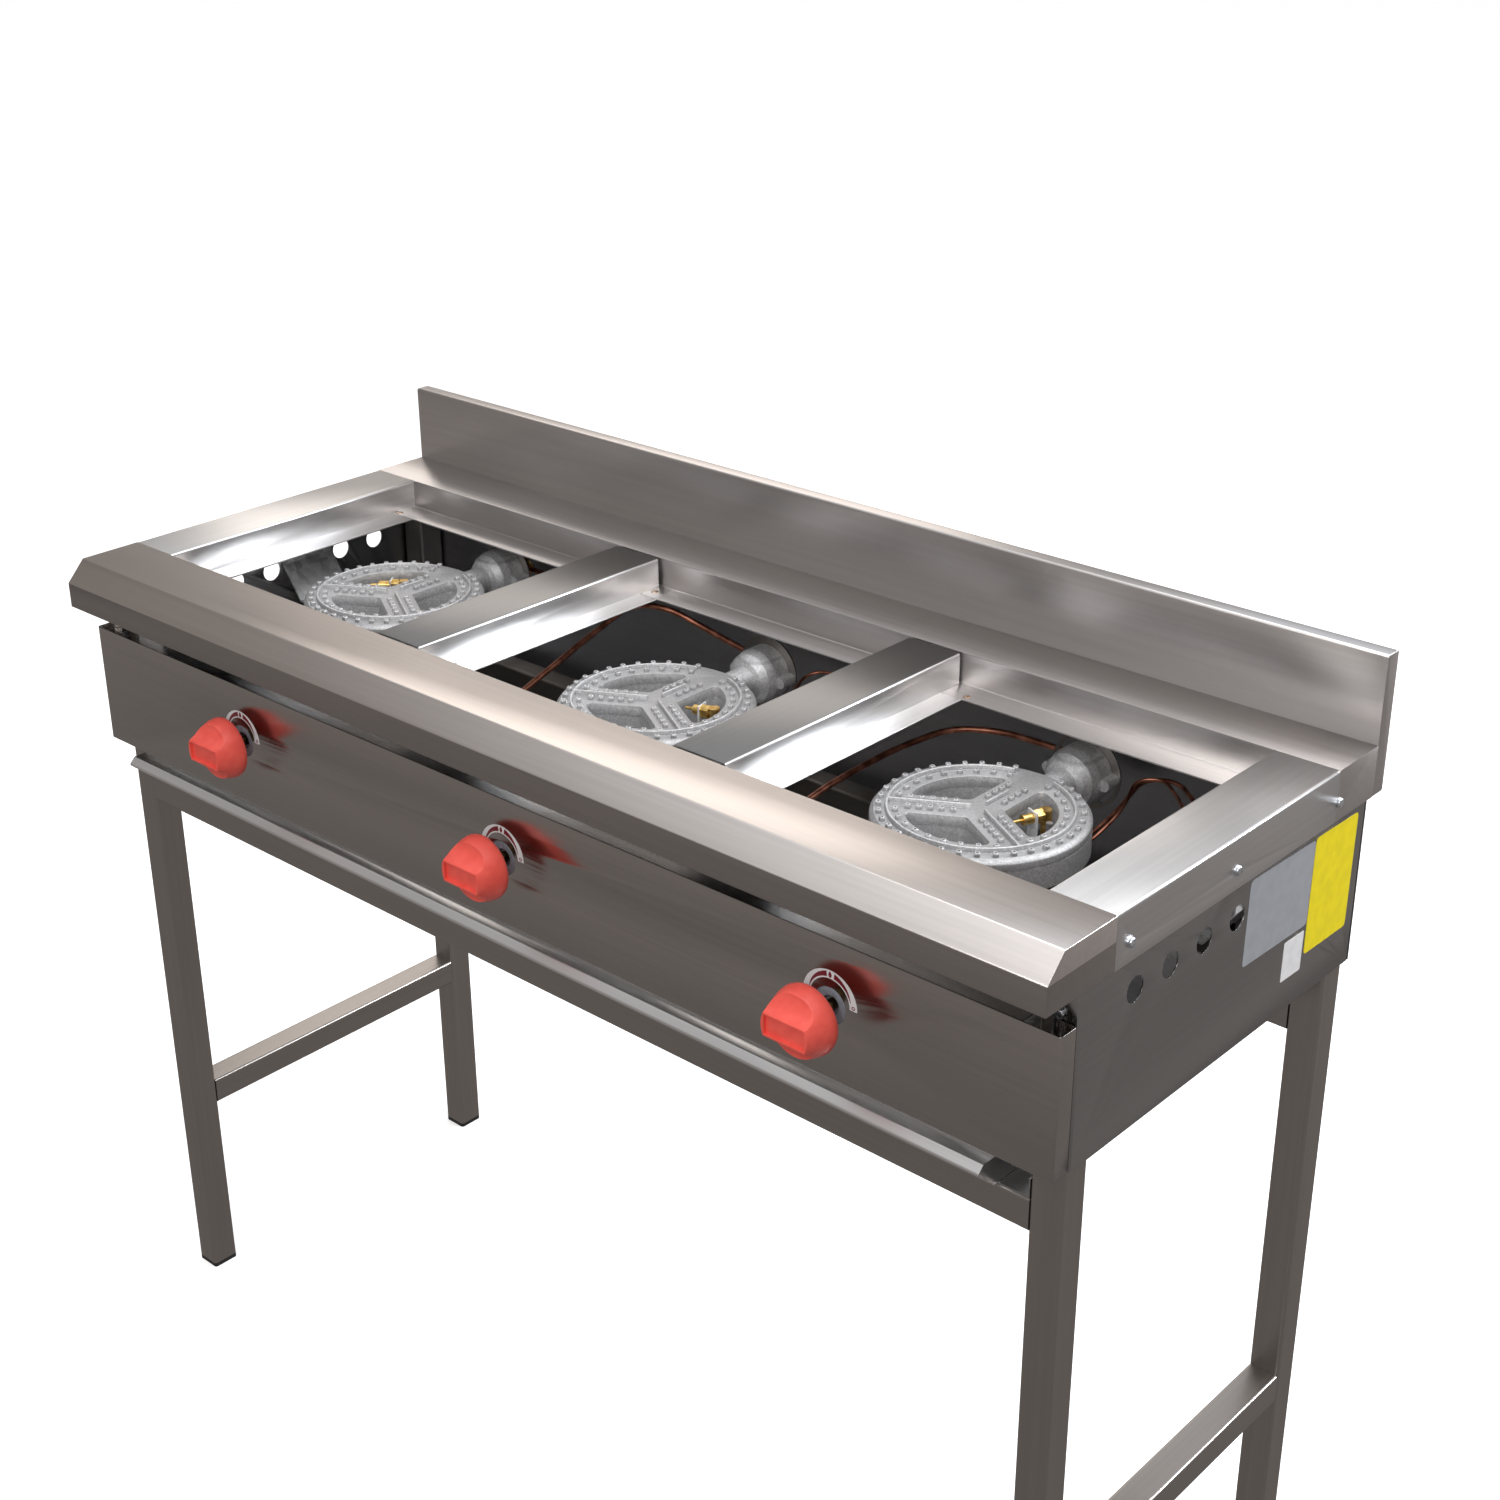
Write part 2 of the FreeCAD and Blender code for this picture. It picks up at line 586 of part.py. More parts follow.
def mid_bar(side):
    half = MID_BAR_WIDTH / 2
    first = FRONT_RAIL_DEPTH + BAR_END_GAP
    last = LEDGE_Y - BAR_END_GAP
    hat_line = [(half, SEAT_Z), (half, WORK_HEIGHT), (-half, WORK_HEIGHT), (-half, SEAT_Z)]
    hat = folded_sheet(hat_line, TOP_SHEET, lambda x, z: V(x, first, z), Y_AXIS * (last - first))
    flange_first = FRONT_RAIL_DEPTH + SEAT_FLANGE + WELD_GAP
    flange_last = LEDGE_Y - SEAT_FLANGE - WELD_GAP
    flanges = []
    for way in (-1, 1):
        limits = sorted((way * (half - TOP_SHEET), way * (half + BAR_FLANGE)))
        flanges.append(block(limits, (flange_first, flange_last), (SEAT_Z - TOP_SHEET, SEAT_Z)))
    bar = fused([hat] + flanges)
    bar.translate(V(side * BAR_CENTRE, 0, 0))
    return bar


def rear_ledge():
    seat_half = TOP_HALF - END_BAR_WIDTH
    top = block((-TOP_HALF, TOP_HALF), (LEDGE_Y, SPLASH_Y), (WORK_HEIGHT - TOP_SHEET, WORK_HEIGHT))
    seat_line = [(LEDGE_Y, WORK_HEIGHT), (LEDGE_Y, SEAT_Z), (LEDGE_Y - SEAT_FLANGE, SEAT_Z)]
    seat = folded_sheet(seat_line, TOP_SHEET, lambda y, z: V(-seat_half, y, z), X_AXIS * 2 * seat_half)
    cap = end_cap([(LEDGE_Y, SKIRT_Z), (SPLASH_Y, SKIRT_Z), (SPLASH_Y, WORK_HEIGHT), (LEDGE_Y, WORK_HEIGHT)], [0] * 4)
    ledge = fused([top, seat, cap, mirrored_x(cap)])
    for side in SIDES.values():
        for y in skirt_screw_places(side):
            if y > LEDGE_Y:
                ledge = ledge.cut(screw_hole((side * TOP_HALF, y, SKIRT_SCREW_Z), V(-side, 0, 0), SCREW_LENGTH))
    return ledge


def splash_back():
    top_z = WORK_HEIGHT + SPLASH_HEIGHT
    line = [(BODY_REAR + BODY_SHEET, SKIRT_Z), (TOP_DEPTH, SKIRT_Z), (TOP_DEPTH, top_z),
            (SPLASH_Y, top_z), (SPLASH_Y, WORK_HEIGHT - TOP_SHEET)]
    reach = TOP_HALF - TOP_SHEET
    shell = folded_sheet(line, TOP_SHEET, lambda y, z: V(-reach, y, z), X_AXIS * 2 * reach)
    bend = BEND_RADIUS + TOP_SHEET
    outline = [(SPLASH_Y, SKIRT_Z), (TOP_DEPTH, SKIRT_Z), (TOP_DEPTH, top_z), (SPLASH_Y, top_z)]
    cap = end_cap(outline, [0, bend, bend, bend])
    return fused([shell, cap, mirrored_x(cap)])


# ---------------------------------------------------------------- body panels
def side_panel_right():
    line = [(SIDE_OUT - SIDE_FLANGE, BODY_FRONT), (SIDE_OUT, BODY_FRONT),
            (SIDE_OUT, BODY_REAR), (SIDE_OUT - SIDE_FLANGE, BODY_REAR)]
    height = Z_AXIS * (SIDE_PANEL_TOP_Z - PANEL_BOTTOM_Z)
    sheet = folded_sheet(line, BODY_SHEET, lambda x, y: V(x, y, PANEL_BOTTOM_Z), height)
    hem = block((SIDE_OUT - SIDE_HEM, SIDE_IN), (LEG_SET_BACK + TUBE + WELD_GAP, LEG_REAR - TUBE - WELD_GAP),
                (PANEL_BOTTOM_Z, PANEL_BOTTOM_Z + BODY_SHEET))
    panel = fused([sheet, hem])
    for index in range(VENT_COUNT):
        y = VENT_FIRST_Y + index * VENT_PITCH
        panel = panel.cut(rod(VENT_DIAMETER / 2, SIDE_FLANGE, (SIDE_IN - BODY_SHEET, y, VENT_Z), X_AXIS))
    for y in skirt_screw_places(1):
        panel = panel.cut(screw_hole((TOP_HALF, y, SKIRT_SCREW_Z), V(-1, 0, 0), SCREW_LENGTH))
    for y in (BODY_FRONT, BODY_REAR):
        for z in sorted(set(FRONT_SCREW_ZS + BACK_SCREW_ZS)):
            panel = panel.cut(screw_hole((SIDE_OUT - FRONT_SCREW_IN, y, z), Y_AXIS, BODY_SHEET * 2))
    return panel


def side_panel(side):
    """The left panel is the right one turned half a turn about the body's upright middle line."""
    panel = side_panel_right()
    if side < 0:
        panel.rotate(V(0, (BODY_FRONT + BODY_REAR) / 2, 0), Z_AXIS, 180)
    return panel


def back_panel():
    """A plain sheet that reaches down over the rear rail."""
    panel = block((-SIDE_OUT, SIDE_OUT), (BODY_REAR, BODY_REAR + BODY_SHEET), (BACK_BOTTOM_Z, SIDE_PANEL_TOP_Z))
    inlet = rod(PIPE_OD / 2 + PIPE_HOLE_CLEARANCE, 3 * BODY_SHEET,
                (PIPE_BEND_X, BODY_REAR - BODY_SHEET, PIPE_Z), Y_AXIS)
    panel = panel.cut(inlet)
    for side in SIDES.values():
        for z in BACK_SCREW_ZS:
            tip = (side * (SIDE_OUT - FRONT_SCREW_IN), BODY_REAR, z)
            panel = panel.cut(screw_hole(tip, Y_AXIS, BODY_SHEET * 2))
    return panel


def control_panel():
    line = [(CONTROL_TAB - CONTROL_OUT, BODY_FRONT), (-CONTROL_OUT, BODY_FRONT), (-CONTROL_OUT, CONTROL_FACE_Y),
            (CONTROL_OUT, CONTROL_FACE_Y), (CONTROL_OUT, BODY_FRONT), (CONTROL_OUT - CONTROL_TAB, BODY_FRONT)]
    height = Z_AXIS * (CONTROL_TOP_Z - CONTROL_BOTTOM_Z)
    sheet = folded_sheet(line, BODY_SHEET, lambda x, y: V(x, y, CONTROL_BOTTOM_Z), height)
    floor_half = LEG_IN - WELD_GAP
    floor = block((-floor_half, floor_half), (CONTROL_FACE_Y + BODY_SHEET, BODY_FRONT),
                  (CONTROL_BOTTOM_Z, CONTROL_BOTTOM_Z + BODY_SHEET))
    ceiling = block((-floor_half, floor_half), (CONTROL_FACE_Y + BODY_SHEET, CONTROL_FACE_Y + CONTROL_TOP_FLANGE),
                    (CONTROL_TOP_Z - BODY_SHEET, CONTROL_TOP_Z))
    panel = fused([sheet, floor, ceiling])
    for x in KNOB_XS.values():
        panel = panel.cut(rod(STEM_HOLE_DIAMETER / 2, 3 * BODY_SHEET, (x, CONTROL_FACE_Y - BODY_SHEET, KNOB_Z), Y_AXIS))
    for side in SIDES.values():
        for z in FRONT_SCREW_ZS:
            access = rod(SCREW_HEAD_DIAMETER / 2 + SCREW_ACCESS_MARGIN, BODY_SHEET * 4,
                         (side * (SIDE_OUT - FRONT_SCREW_IN), BODY_FRONT - BODY_SHEET * 3, z), Y_AXIS)
            panel = panel.cut(access)
    return panel


# ---------------------------------------------------------------- screws
def top_screws():
    screws = []
    for side in SIDES.values():
        for y in skirt_screw_places(side):
            screws.append(pan_screw((side * TOP_HALF, y, SKIRT_SCREW_Z), V(-side, 0, 0), SCREW_LENGTH))
    return group(screws)


def body_screws():
    screws = []
    for side in SIDES.values():
        x = side * (SIDE_OUT - FRONT_SCREW_IN)
        for z in FRONT_SCREW_ZS:
            screws.append(pan_screw((x, BODY_FRONT, z), Y_AXIS, SCREW_LENGTH))
        for z in BACK_SCREW_ZS:
            screws.append(pan_screw((x, BODY_REAR + BODY_SHEET, z), V(0, -1, 0), SCREW_LENGTH))
    return group(screws)


# ---------------------------------------------------------------- drip tray
def tray_runner(side):
    inner = LEG_IN - RUNNER_WIDTH
    flat = block((inner, LEG_IN), (LEG_SET_BACK, LEG_REAR), (RUNNER_Z, RUNNER_Z + RUNNER_THICKNESS))
    guide = block((LEG_IN - TRAY_SHEET, LEG_IN), (LEG_SET_BACK, LEG_REAR), (RUNNER_Z, RUNNER_Z + RUNNER_GUIDE_HEIGHT))
    runner = fused([flat, guide])
    return runner if side > 0 else mirrored_x(runner)


def drip_tray():
    left = TRAY_LEFT_X
    right = left + TRAY_WIDTH
    rear = LEG_REAR - TUBE - TRAY_REAR_GAP
    outer = block((left, right), (TRAY_FRONT_Y, rear), (TRAY_Z, TRAY_TOP_Z))
    inside = block((left + TRAY_SHEET, right - TRAY_SHEET), (TRAY_FRONT_Y + TRAY_SHEET, rear - TRAY_SHEET),
                   (TRAY_Z + TRAY_SHEET, TRAY_TOP_Z + TRAY_SHEET))
    pan = outer.cut(inside)
    top_z = TRAY_TOP_Z - HANDLE_TOP_DROP
    nose_y = TRAY_FRONT_Y - HANDLE_REACH
    line = [(TRAY_FRONT_Y, top_z), (nose_y + HANDLE_SLOPE, top_z), (nose_y, top_z - HANDLE_SLOPE),
            (TRAY_FRONT_Y, TRAY_Z)]
    handle = folded_sheet(line, TRAY_SHEET, lambda y, z: V(left, y, z), X_AXIS * TRAY_WIDTH)
    across = (left - CUT_SPARE, right + CUT_SPARE)
    behind = block(across, (TRAY_FRONT_Y, rear), (0, WORK_HEIGHT))
    below = block(across, (0, rear), (0, TRAY_Z))
    handle = handle.cut(behind).cut(below)
    ends = []
    for x in (left, right - TRAY_SHEET):
        plate = rounded_face(line, [0, BEND_RADIUS + TRAY_SHEET, BEND_RADIUS + TRAY_SHEET, 0], lambda y, z: V(x, y, z))
        ends.append(plate.extrude(X_AXIS * TRAY_SHEET))
    return fused([pan, handle] + ends)


# ---------------------------------------------------------------- burner support
def burner_beam():
    half = SIDE_IN - BEAM_END_GAP
    corner = (-half, BEAM_Y - BEAM_TUBE / 2, BEAM_TOP_Z - BEAM_TUBE)
    beam = square_tube(corner, 2 * half, X_AXIS, BEAM_TUBE, TUBE_WALL)
    radius = BURNER_BOLT_DIAMETER / 2 + BEAM_BOLT_CLEARANCE
    for x, _ in BURNER_PLACES.values():
        beam = beam.cut(rod(radius, 2 * BEAM_TUBE, (x, BEAM_Y, BEAM_TOP_Z - 1.5 * BEAM_TUBE), Z_AXIS))
    return beam


def beam_bracket(side):
    foot_z = BEAM_TOP_Z + BRACKET_SHEET
    rise = BRACKET_FOLD_Z - foot_z
    slope_run = rise * BEAM_END_GAP / (BRACKET_FOLD_Z - BEAM_TOP_Z)
    knee = SIDE_IN - slope_run
    line = [(SIDE_IN, BRACKET_TOP_Z), (SIDE_IN, BRACKET_FOLD_Z), (knee, foot_z), (knee - BRACKET_FOOT, foot_z)]
    start_y = BEAM_Y + BRACKET_OFFSET - BRACKET_WIDTH / 2
    bracket = folded_sheet(line[::-1], BRACKET_SHEET, lambda x, z: V(x, start_y, z), Y_AXIS * BRACKET_WIDTH)
    return bracket if side > 0 else mirrored_x(bracket)


def burner_bolts():
    bolts = []
    head_top = BEAM_TOP_Z - BEAM_TUBE
    for x, _ in BURNER_PLACES.values():
        head = hexagon(BURNER_BOLT_HEAD, BURNER_BOLT_HEAD_HEIGHT, (x, BEAM_Y, head_top), V(0, 0, -1))
        shank = rod(BURNER_BOLT_DIAMETER / 2, BEAM_TUBE + BURNER_BOLT_REACH, (x, BEAM_Y, head_top), Z_AXIS)
        bolts.append(fused([head, shank]))
    return group(bolts)


# ---------------------------------------------------------------- burners (made about the ring's centre)
def spoke_box(angle, half_width, start, reach, z_range):
    """A bar along one spoke's direction."""
    bar = block((start, reach), (-half_width, half_width), z_range)
    bar.rotate(V(0, 0, 0), Z_AXIS, angle)
    return bar


def ring_openings(z_range):
    """The three flame openings between the spokes, with rounded corners, as cutting tools."""
    disc = rod(RING_OPENING_R, z_range[1] - z_range[0], (0, 0, z_range[0]), Z_AXIS)
    for angle in SPOKE_ANGLES:
        disc = disc.cut(spoke_box(angle, SPOKE_WIDTH / 2, 0, 2 * RING_OPENING_R, z_range))
    openings = []
    for solid in disc.Solids:
        upright = [edge for edge in solid.Edges if abs(edge.tangentAt(edge.FirstParameter).z) > 0.99]
        openings.append(solid.makeFillet(OPENING_CORNER_R, upright))
    return openings


def ring_profile(points):
    """A solid of revolution about the ring's axis from points of radius and height."""
    corners = [V(r, 0, z) for r, z in points]
    return Part.Face(Part.makePolygon(corners + corners[:1])).revolve(V(0, 0, 0), Z_AXIS, 360)


def burner_head():
    """The upper casting: ring, spokes and hub, with the raised rib between its rows of ports."""
    low = HEAD_JOINT_Z
    plate = ring_profile([(0, low), (RING_OUTER_R, low), (RING_OUTER_R, BURNER_TOP_Z - RING_EDGE_DROP),
                          (RING_TOP_R, BURNER_TOP_Z), (0, BURNER_TOP_Z)])
    top = (BURNER_TOP_Z, BURNER_TOP_Z + RIB_HEIGHT)
    rib = rod(RIB_R + RIB_WIDTH / 2, RIB_HEIGHT, (0, 0, BURNER_TOP_Z), Z_AXIS)
    rib = rib.cut(rod(RIB_R - RIB_WIDTH / 2, RIB_HEIGHT, (0, 0, BURNER_TOP_Z), Z_AXIS))
    rib = rib.cut(block((-RIB_GAP_HALF_WIDTH, RIB_GAP_HALF_WIDTH), (0, RING_OUTER_R), top))
    spokes = [spoke_box(angle, RIB_WIDTH / 2, SPOKE_RIB_START, reach, top)
              for angle, reach in zip(SPOKE_ANGLES, (RIB_R / 2, RIB_R, RIB_R))]
    head = fused([plate, rib] + spokes)
    for opening in ring_openings((low - CUT_SPARE, BURNER_TOP_Z + RIB_HEIGHT + CUT_SPARE)):
        head = head.cut(opening)
    return head


def bell_points():
    """The neck and bell outside, as (distance back, radius)."""
    shoulder = (MOUTH_Y - BELL_START) / 2
    curve = [(BELL_START + shoulder * back, NECK_RADIUS + (BELL_RADIUS - NECK_RADIUS) * out)
             for back, out in BELL_CURVE]
    return ([(NECK_START, NECK_RADIUS), (BELL_START, NECK_RADIUS)] + curve
            + [(BELL_START + shoulder, BELL_RADIUS), (MOUTH_Y, BELL_RADIUS)])


def turned_on_neck(points):
    """A solid of revolution about the neck's axis from points of distance back and radius."""
    corners = [V(0, y, NECK_Z + r) for y, r in points]
    return Part.Face(Part.makePolygon(corners + corners[:1])).revolve(V(0, 0, NECK_Z), Y_AXIS, 360)


def burner_body():
    """The lower casting: ring trough, neck, bell with its windowed mouth, ears and slotted foot."""
    high = HEAD_JOINT_Z
    ring = ring_profile([(0, CASTING_BASE_Z), (RING_BASE_R, CASTING_BASE_Z),
                         (RING_OUTER_R, CASTING_BASE_Z + RING_EDGE_DROP), (RING_OUTER_R, high), (0, high)])
    for opening in ring_openings((CASTING_BASE_Z - CUT_SPARE, high + CUT_SPARE)):
        ring = ring.cut(opening)
    outside = bell_points()
    neck = turned_on_neck([(NECK_START, 0)] + outside + [(MOUTH_Y, 0)])
    inner_r = BELL_RADIUS - BELL_WALL
    hollow = [(NECK_BORE_START, 0), (NECK_BORE_START, NECK_BORE_RADIUS), (BELL_START, NECK_BORE_RADIUS)]
    hollow += [(y, r - BELL_WALL) for y, r in outside[3:5]]
    hollow += [(MOUTH_Y - BELL_WALL, inner_r), (MOUTH_Y - BELL_WALL, 0)]
    neck = neck.cut(turned_on_neck(hollow))
    neck = neck.cut(block((-RING_OUTER_R, RING_OUTER_R), (0, MOUTH_Y), (high, high + 2 * BELL_RADIUS)).common(
        rod(RING_OUTER_R, 4 * BELL_RADIUS, (0, 0, CASTING_BASE_Z), Z_AXIS)))
    ears = []
    for side in SIDES.values():
        ears.append(rod(EAR_RADIUS, EAR_LENGTH, (side * EAR_OFFSET, MOUTH_Y - EAR_LENGTH, NECK_Z), Y_AXIS))
        limits = sorted((side * (inner_r + EAR_ROOT), side * EAR_OFFSET))
        ears.append(block(limits, (MOUTH_Y - EAR_LENGTH, MOUTH_Y), (NECK_Z - EAR_RADIUS, NECK_Z + EAR_RADIUS)))
    pad_y = (SLOT_START - FOOT_PAD_MARGIN, SLOT_END + FOOT_PAD_MARGIN)
    pad = block((-FOOT_PAD_WIDTH / 2, FOOT_PAD_WIDTH / 2), pad_y, (BEAM_TOP_Z, CASTING_BASE_Z + CUT_SPARE))
    body = fused([ring, neck] + ears + [pad])
    for tool in mouth_windows(MOUTH_Y - 2 * BELL_WALL, 4 * BELL_WALL):
        body = body.cut(tool)
    centre_r = INJECTOR_SHANK_R + INJECTOR_FIT
    body = body.cut(rod(centre_r, 4 * BELL_WALL, (0, MOUTH_Y - 2 * BELL_WALL, NECK_Z), Y_AXIS))
    slot_half = FOOT_SLOT_WIDTH / 2
    slot_z = (BEAM_TOP_Z - CUT_SPARE, BEAM_TOP_Z + BURNER_BOLT_REACH + BURNER_BOLT_SPARE)
    slot = block((-slot_half, slot_half), (SLOT_START, SLOT_END), slot_z)
    body = body.cut(slot)
    for side in SIDES.values():
        body = body.cut(screw_hole((side * EAR_OFFSET, MOUTH_Y, NECK_Z), V(0, -1, 0), SCREW_LENGTH))
    return body


def mouth_windows(start, depth):
    """Round air windows on a circle about the neck's axis, as cutting tools along Y."""
    tools = []
    for index in range(WINDOW_COUNT):
        angle = math.radians(90 + index * 360 / WINDOW_COUNT)
        x = WINDOW_CIRCLE_R * math.cos(angle)
        z = NECK_Z + WINDOW_CIRCLE_R * math.sin(angle)
        tools.append(rod(WINDOW_RADIUS, depth, (x, start, z), Y_AXIS))
    return tools


def air_shutter():
    """A disc with the same windows as the mouth; turning it closes them.  Its slots are arcs."""
    face_y = MOUTH_Y + SHUTTER_GAP
    disc = rod(SHUTTER_RADIUS, SHUTTER_THICKNESS, (0, face_y, NECK_Z), Y_AXIS)
    disc = disc.cut(rod(SHUTTER_CENTRE_HOLE_R, 3 * SHUTTER_THICKNESS, (0, face_y - SHUTTER_THICKNESS, NECK_Z), Y_AXIS))
    for tool in mouth_windows(face_y - SHUTTER_THICKNESS, 3 * SHUTTER_THICKNESS):
        disc = disc.cut(tool)
    slot_half = SCREW_DIAMETER / 2 + SHUTTER_SLOT_CLEARANCE
    for start_angle in (0, 180):
        disc = disc.cut(arc_slot(EAR_OFFSET, slot_half, start_angle, SHUTTER_TURN, face_y))
    return disc


def arc_slot(circle_r, half_width, start_angle, sweep, face_y):
    """An arc-shaped slot about the neck's axis with round ends, as a cutting tool."""
    depth = 3 * SHUTTER_THICKNESS
    low_y = face_y - SHUTTER_THICKNESS
    corners = [V(circle_r - half_width, low_y, 0), V(circle_r + half_width, low_y, 0),
               V(circle_r + half_width, low_y + depth, 0), V(circle_r - half_width, low_y + depth, 0)]
    tool = Part.Face(Part.makePolygon(corners + corners[:1])).revolve(V(0, 0, 0), Y_AXIS, sweep)
    ends = [rod(half_width, depth, (circle_r, low_y, 0), Y_AXIS)]
    turned = rod(half_width, depth, (circle_r, low_y, 0), Y_AXIS)
    turned.rotate(V(0, 0, 0), Y_AXIS, sweep)
    ends.append(turned)
    tool = tool.multiFuse(ends)
    tool.rotate(V(0, 0, 0), Y_AXIS, start_angle)
    tool.translate(V(0, 0, NECK_Z))
    return tool


def placed(shape, name):
    """A burner's piece moved from the ring's centre to its own bay."""
    x, y = BURNER_PLACES[name]
    moved = shape.copy()
    moved.translate(V(x, y, 0))
    return moved


def shutter_screws():
    tip_y = MOUTH_Y + 2 * SHUTTER_GAP + SHUTTER_THICKNESS
    screws = []
    for name in BURNER_PLACES:
        for side in SIDES.values():
            screw = pan_screw((side * EAR_OFFSET, tip_y, NECK_Z), V(0, -1, 0), SCREW_LENGTH)
            screws.append(placed(screw, name))
    return group(screws)


def injectors():
    """Brass elbows screwed into the middle of each mouth, with the jet inside the bell."""
    parts = []
    hex_y = MOUTH_Y + 2 * SHUTTER_GAP + SHUTTER_THICKNESS + SCREW_HEAD_HEIGHT / 2
    for name in BURNER_PLACES:
        jet = rod(INJECTOR_TIP_R, INJECTOR_TIP_LENGTH, (0, MOUTH_Y - BELL_WALL - INJECTOR_TIP_LENGTH, NECK_Z), Y_AXIS)
        shank = rod(INJECTOR_SHANK_R, hex_y - MOUTH_Y + BELL_WALL, (0, MOUTH_Y - BELL_WALL, NECK_Z), Y_AXIS)
        nut = hexagon(INJECTOR_HEX, INJECTOR_HEX_LENGTH, (0, hex_y, NECK_Z), Y_AXIS)
        elbow_y = MOUTH_Y + INJECTOR_SET_BACK
        elbow = rod(INJECTOR_ELBOW_R, elbow_y - hex_y + INJECTOR_ELBOW_R, (0, hex_y, NECK_Z), Y_AXIS)
        way = FEED_SIDE[name]
        port = rod(INJECTOR_PORT_R, INJECTOR_PORT_REACH, (0, elbow_y, NECK_Z), V(way, 0, 0))
        parts.append(placed(fused([jet, shank, nut, elbow, port]), name))
    return group(parts)


# ---------------------------------------------------------------- pilots
def pilot_line(name):
    """A pilot's back end and the unit direction to its needle, about the ring's centre."""
    back = V(*PILOT_BACK[name], PILOT_Z)
    tip = V(*PILOT_TIP[name], PILOT_Z)
    return back, tip


def pilots():
    """Brass pilots: elbow with its inlet below, hexagon, barrel and the steel needle."""
    parts = []
    for name in BURNER_PLACES:
        back, tip = pilot_line(name)
        length = (tip - back).Length
        along = (tip - back).normalize()
        needle_start = length - PILOT_NEEDLE_LENGTH - PILOT_NEEDLE_R
        nut = hexagon(PILOT_HEX, PILOT_HEX_LENGTH, back + along * PILOT_INLET_R, along)
        barrel = rod(PILOT_BARREL_R, length - PILOT_NEEDLE_LENGTH, back, along)
        needle = rod(PILOT_NEEDLE_R, length - needle_start, back + along * needle_start, along)
        elbow = rod(PILOT_ELBOW_R, 2 * PILOT_ELBOW_HALF, back - V(0, 0, PILOT_ELBOW_HALF), Z_AXIS)
        inlet = rod(PILOT_INLET_R, PILOT_INLET_DROP, back - V(0, 0, PILOT_INLET_DROP), Z_AXIS)
        parts.append(placed(fused([elbow, nut, barrel, needle, inlet]), name))
    return group(parts)


def flame_probes():
    """The upright thermocouple tips beside the pilots."""
    parts = []
    for name in BURNER_PLACES:
        start = (*PROBE_REL[name], PILOT_Z - PROBE_HEIGHT)
        parts.append(placed(rod(PROBE_RADIUS, PROBE_HEIGHT, start, Z_AXIS), name))
    return group(parts)


def flat_strap(start, end):
    """A strip under the casting with its centre line from one point to another."""
    run = V(end.x - start.x, end.y - start.y, 0)
    strap_z = CASTING_BASE_Z - CLIP_THICKNESS
    strip = block((-CLIP_WIDTH / 2, run.Length + CLIP_WIDTH / 2), (-CLIP_WIDTH / 2, CLIP_WIDTH / 2),
                  (strap_z, CASTING_BASE_Z))
    strip.rotate(V(0, 0, 0), Z_AXIS, math.degrees(math.atan2(run.y, run.x)))
    strip.translate(V(start.x, start.y, 0))
    return strip


def pilot_clips():
    """Bent straps under the casting; an upright tab holds the pilot and a hole holds the probe."""
    parts = []
    for name in BURNER_PLACES:
        back, tip = pilot_line(name)
        along = (tip - back).normalize()
        nut_face = back + along * (PILOT_INLET_R + PILOT_HEX_LENGTH)
        probe = V(*PROBE_REL[name], PILOT_Z)
        far = probe * ((RING_OPENING_R + CLIP_REACH) / V(probe.x, probe.y, 0).Length)
        tab = block((0, CLIP_THICKNESS), (-CLIP_WIDTH / 2, CLIP_WIDTH / 2),
                    (CASTING_BASE_Z - CLIP_THICKNESS, PILOT_Z + CLIP_RISE))
        tab.rotate(V(0, 0, 0), Z_AXIS, math.degrees(math.atan2(along.y, along.x)))
        tab.translate(V(nut_face.x, nut_face.y, 0))
        clip = fused([flat_strap(nut_face, probe), flat_strap(probe, far), tab])
        clip = clip.cut(rod(PILOT_BARREL_R + CLIP_FIT, (tip - back).Length, back, along))
        clip = clip.cut(rod(PROBE_RADIUS + CLIP_FIT, PROBE_HEIGHT, probe - V(0, 0, PROBE_HEIGHT), Z_AXIS))
        notch_start = V(back.x, back.y, CASTING_BASE_Z - 2 * CLIP_THICKNESS)
        clip = clip.cut(rod(PILOT_ELBOW_R + CLIP_NOTCH, 4 * CLIP_THICKNESS, notch_start, Z_AXIS))
        parts.append(placed(clip, name))
    return group(parts)


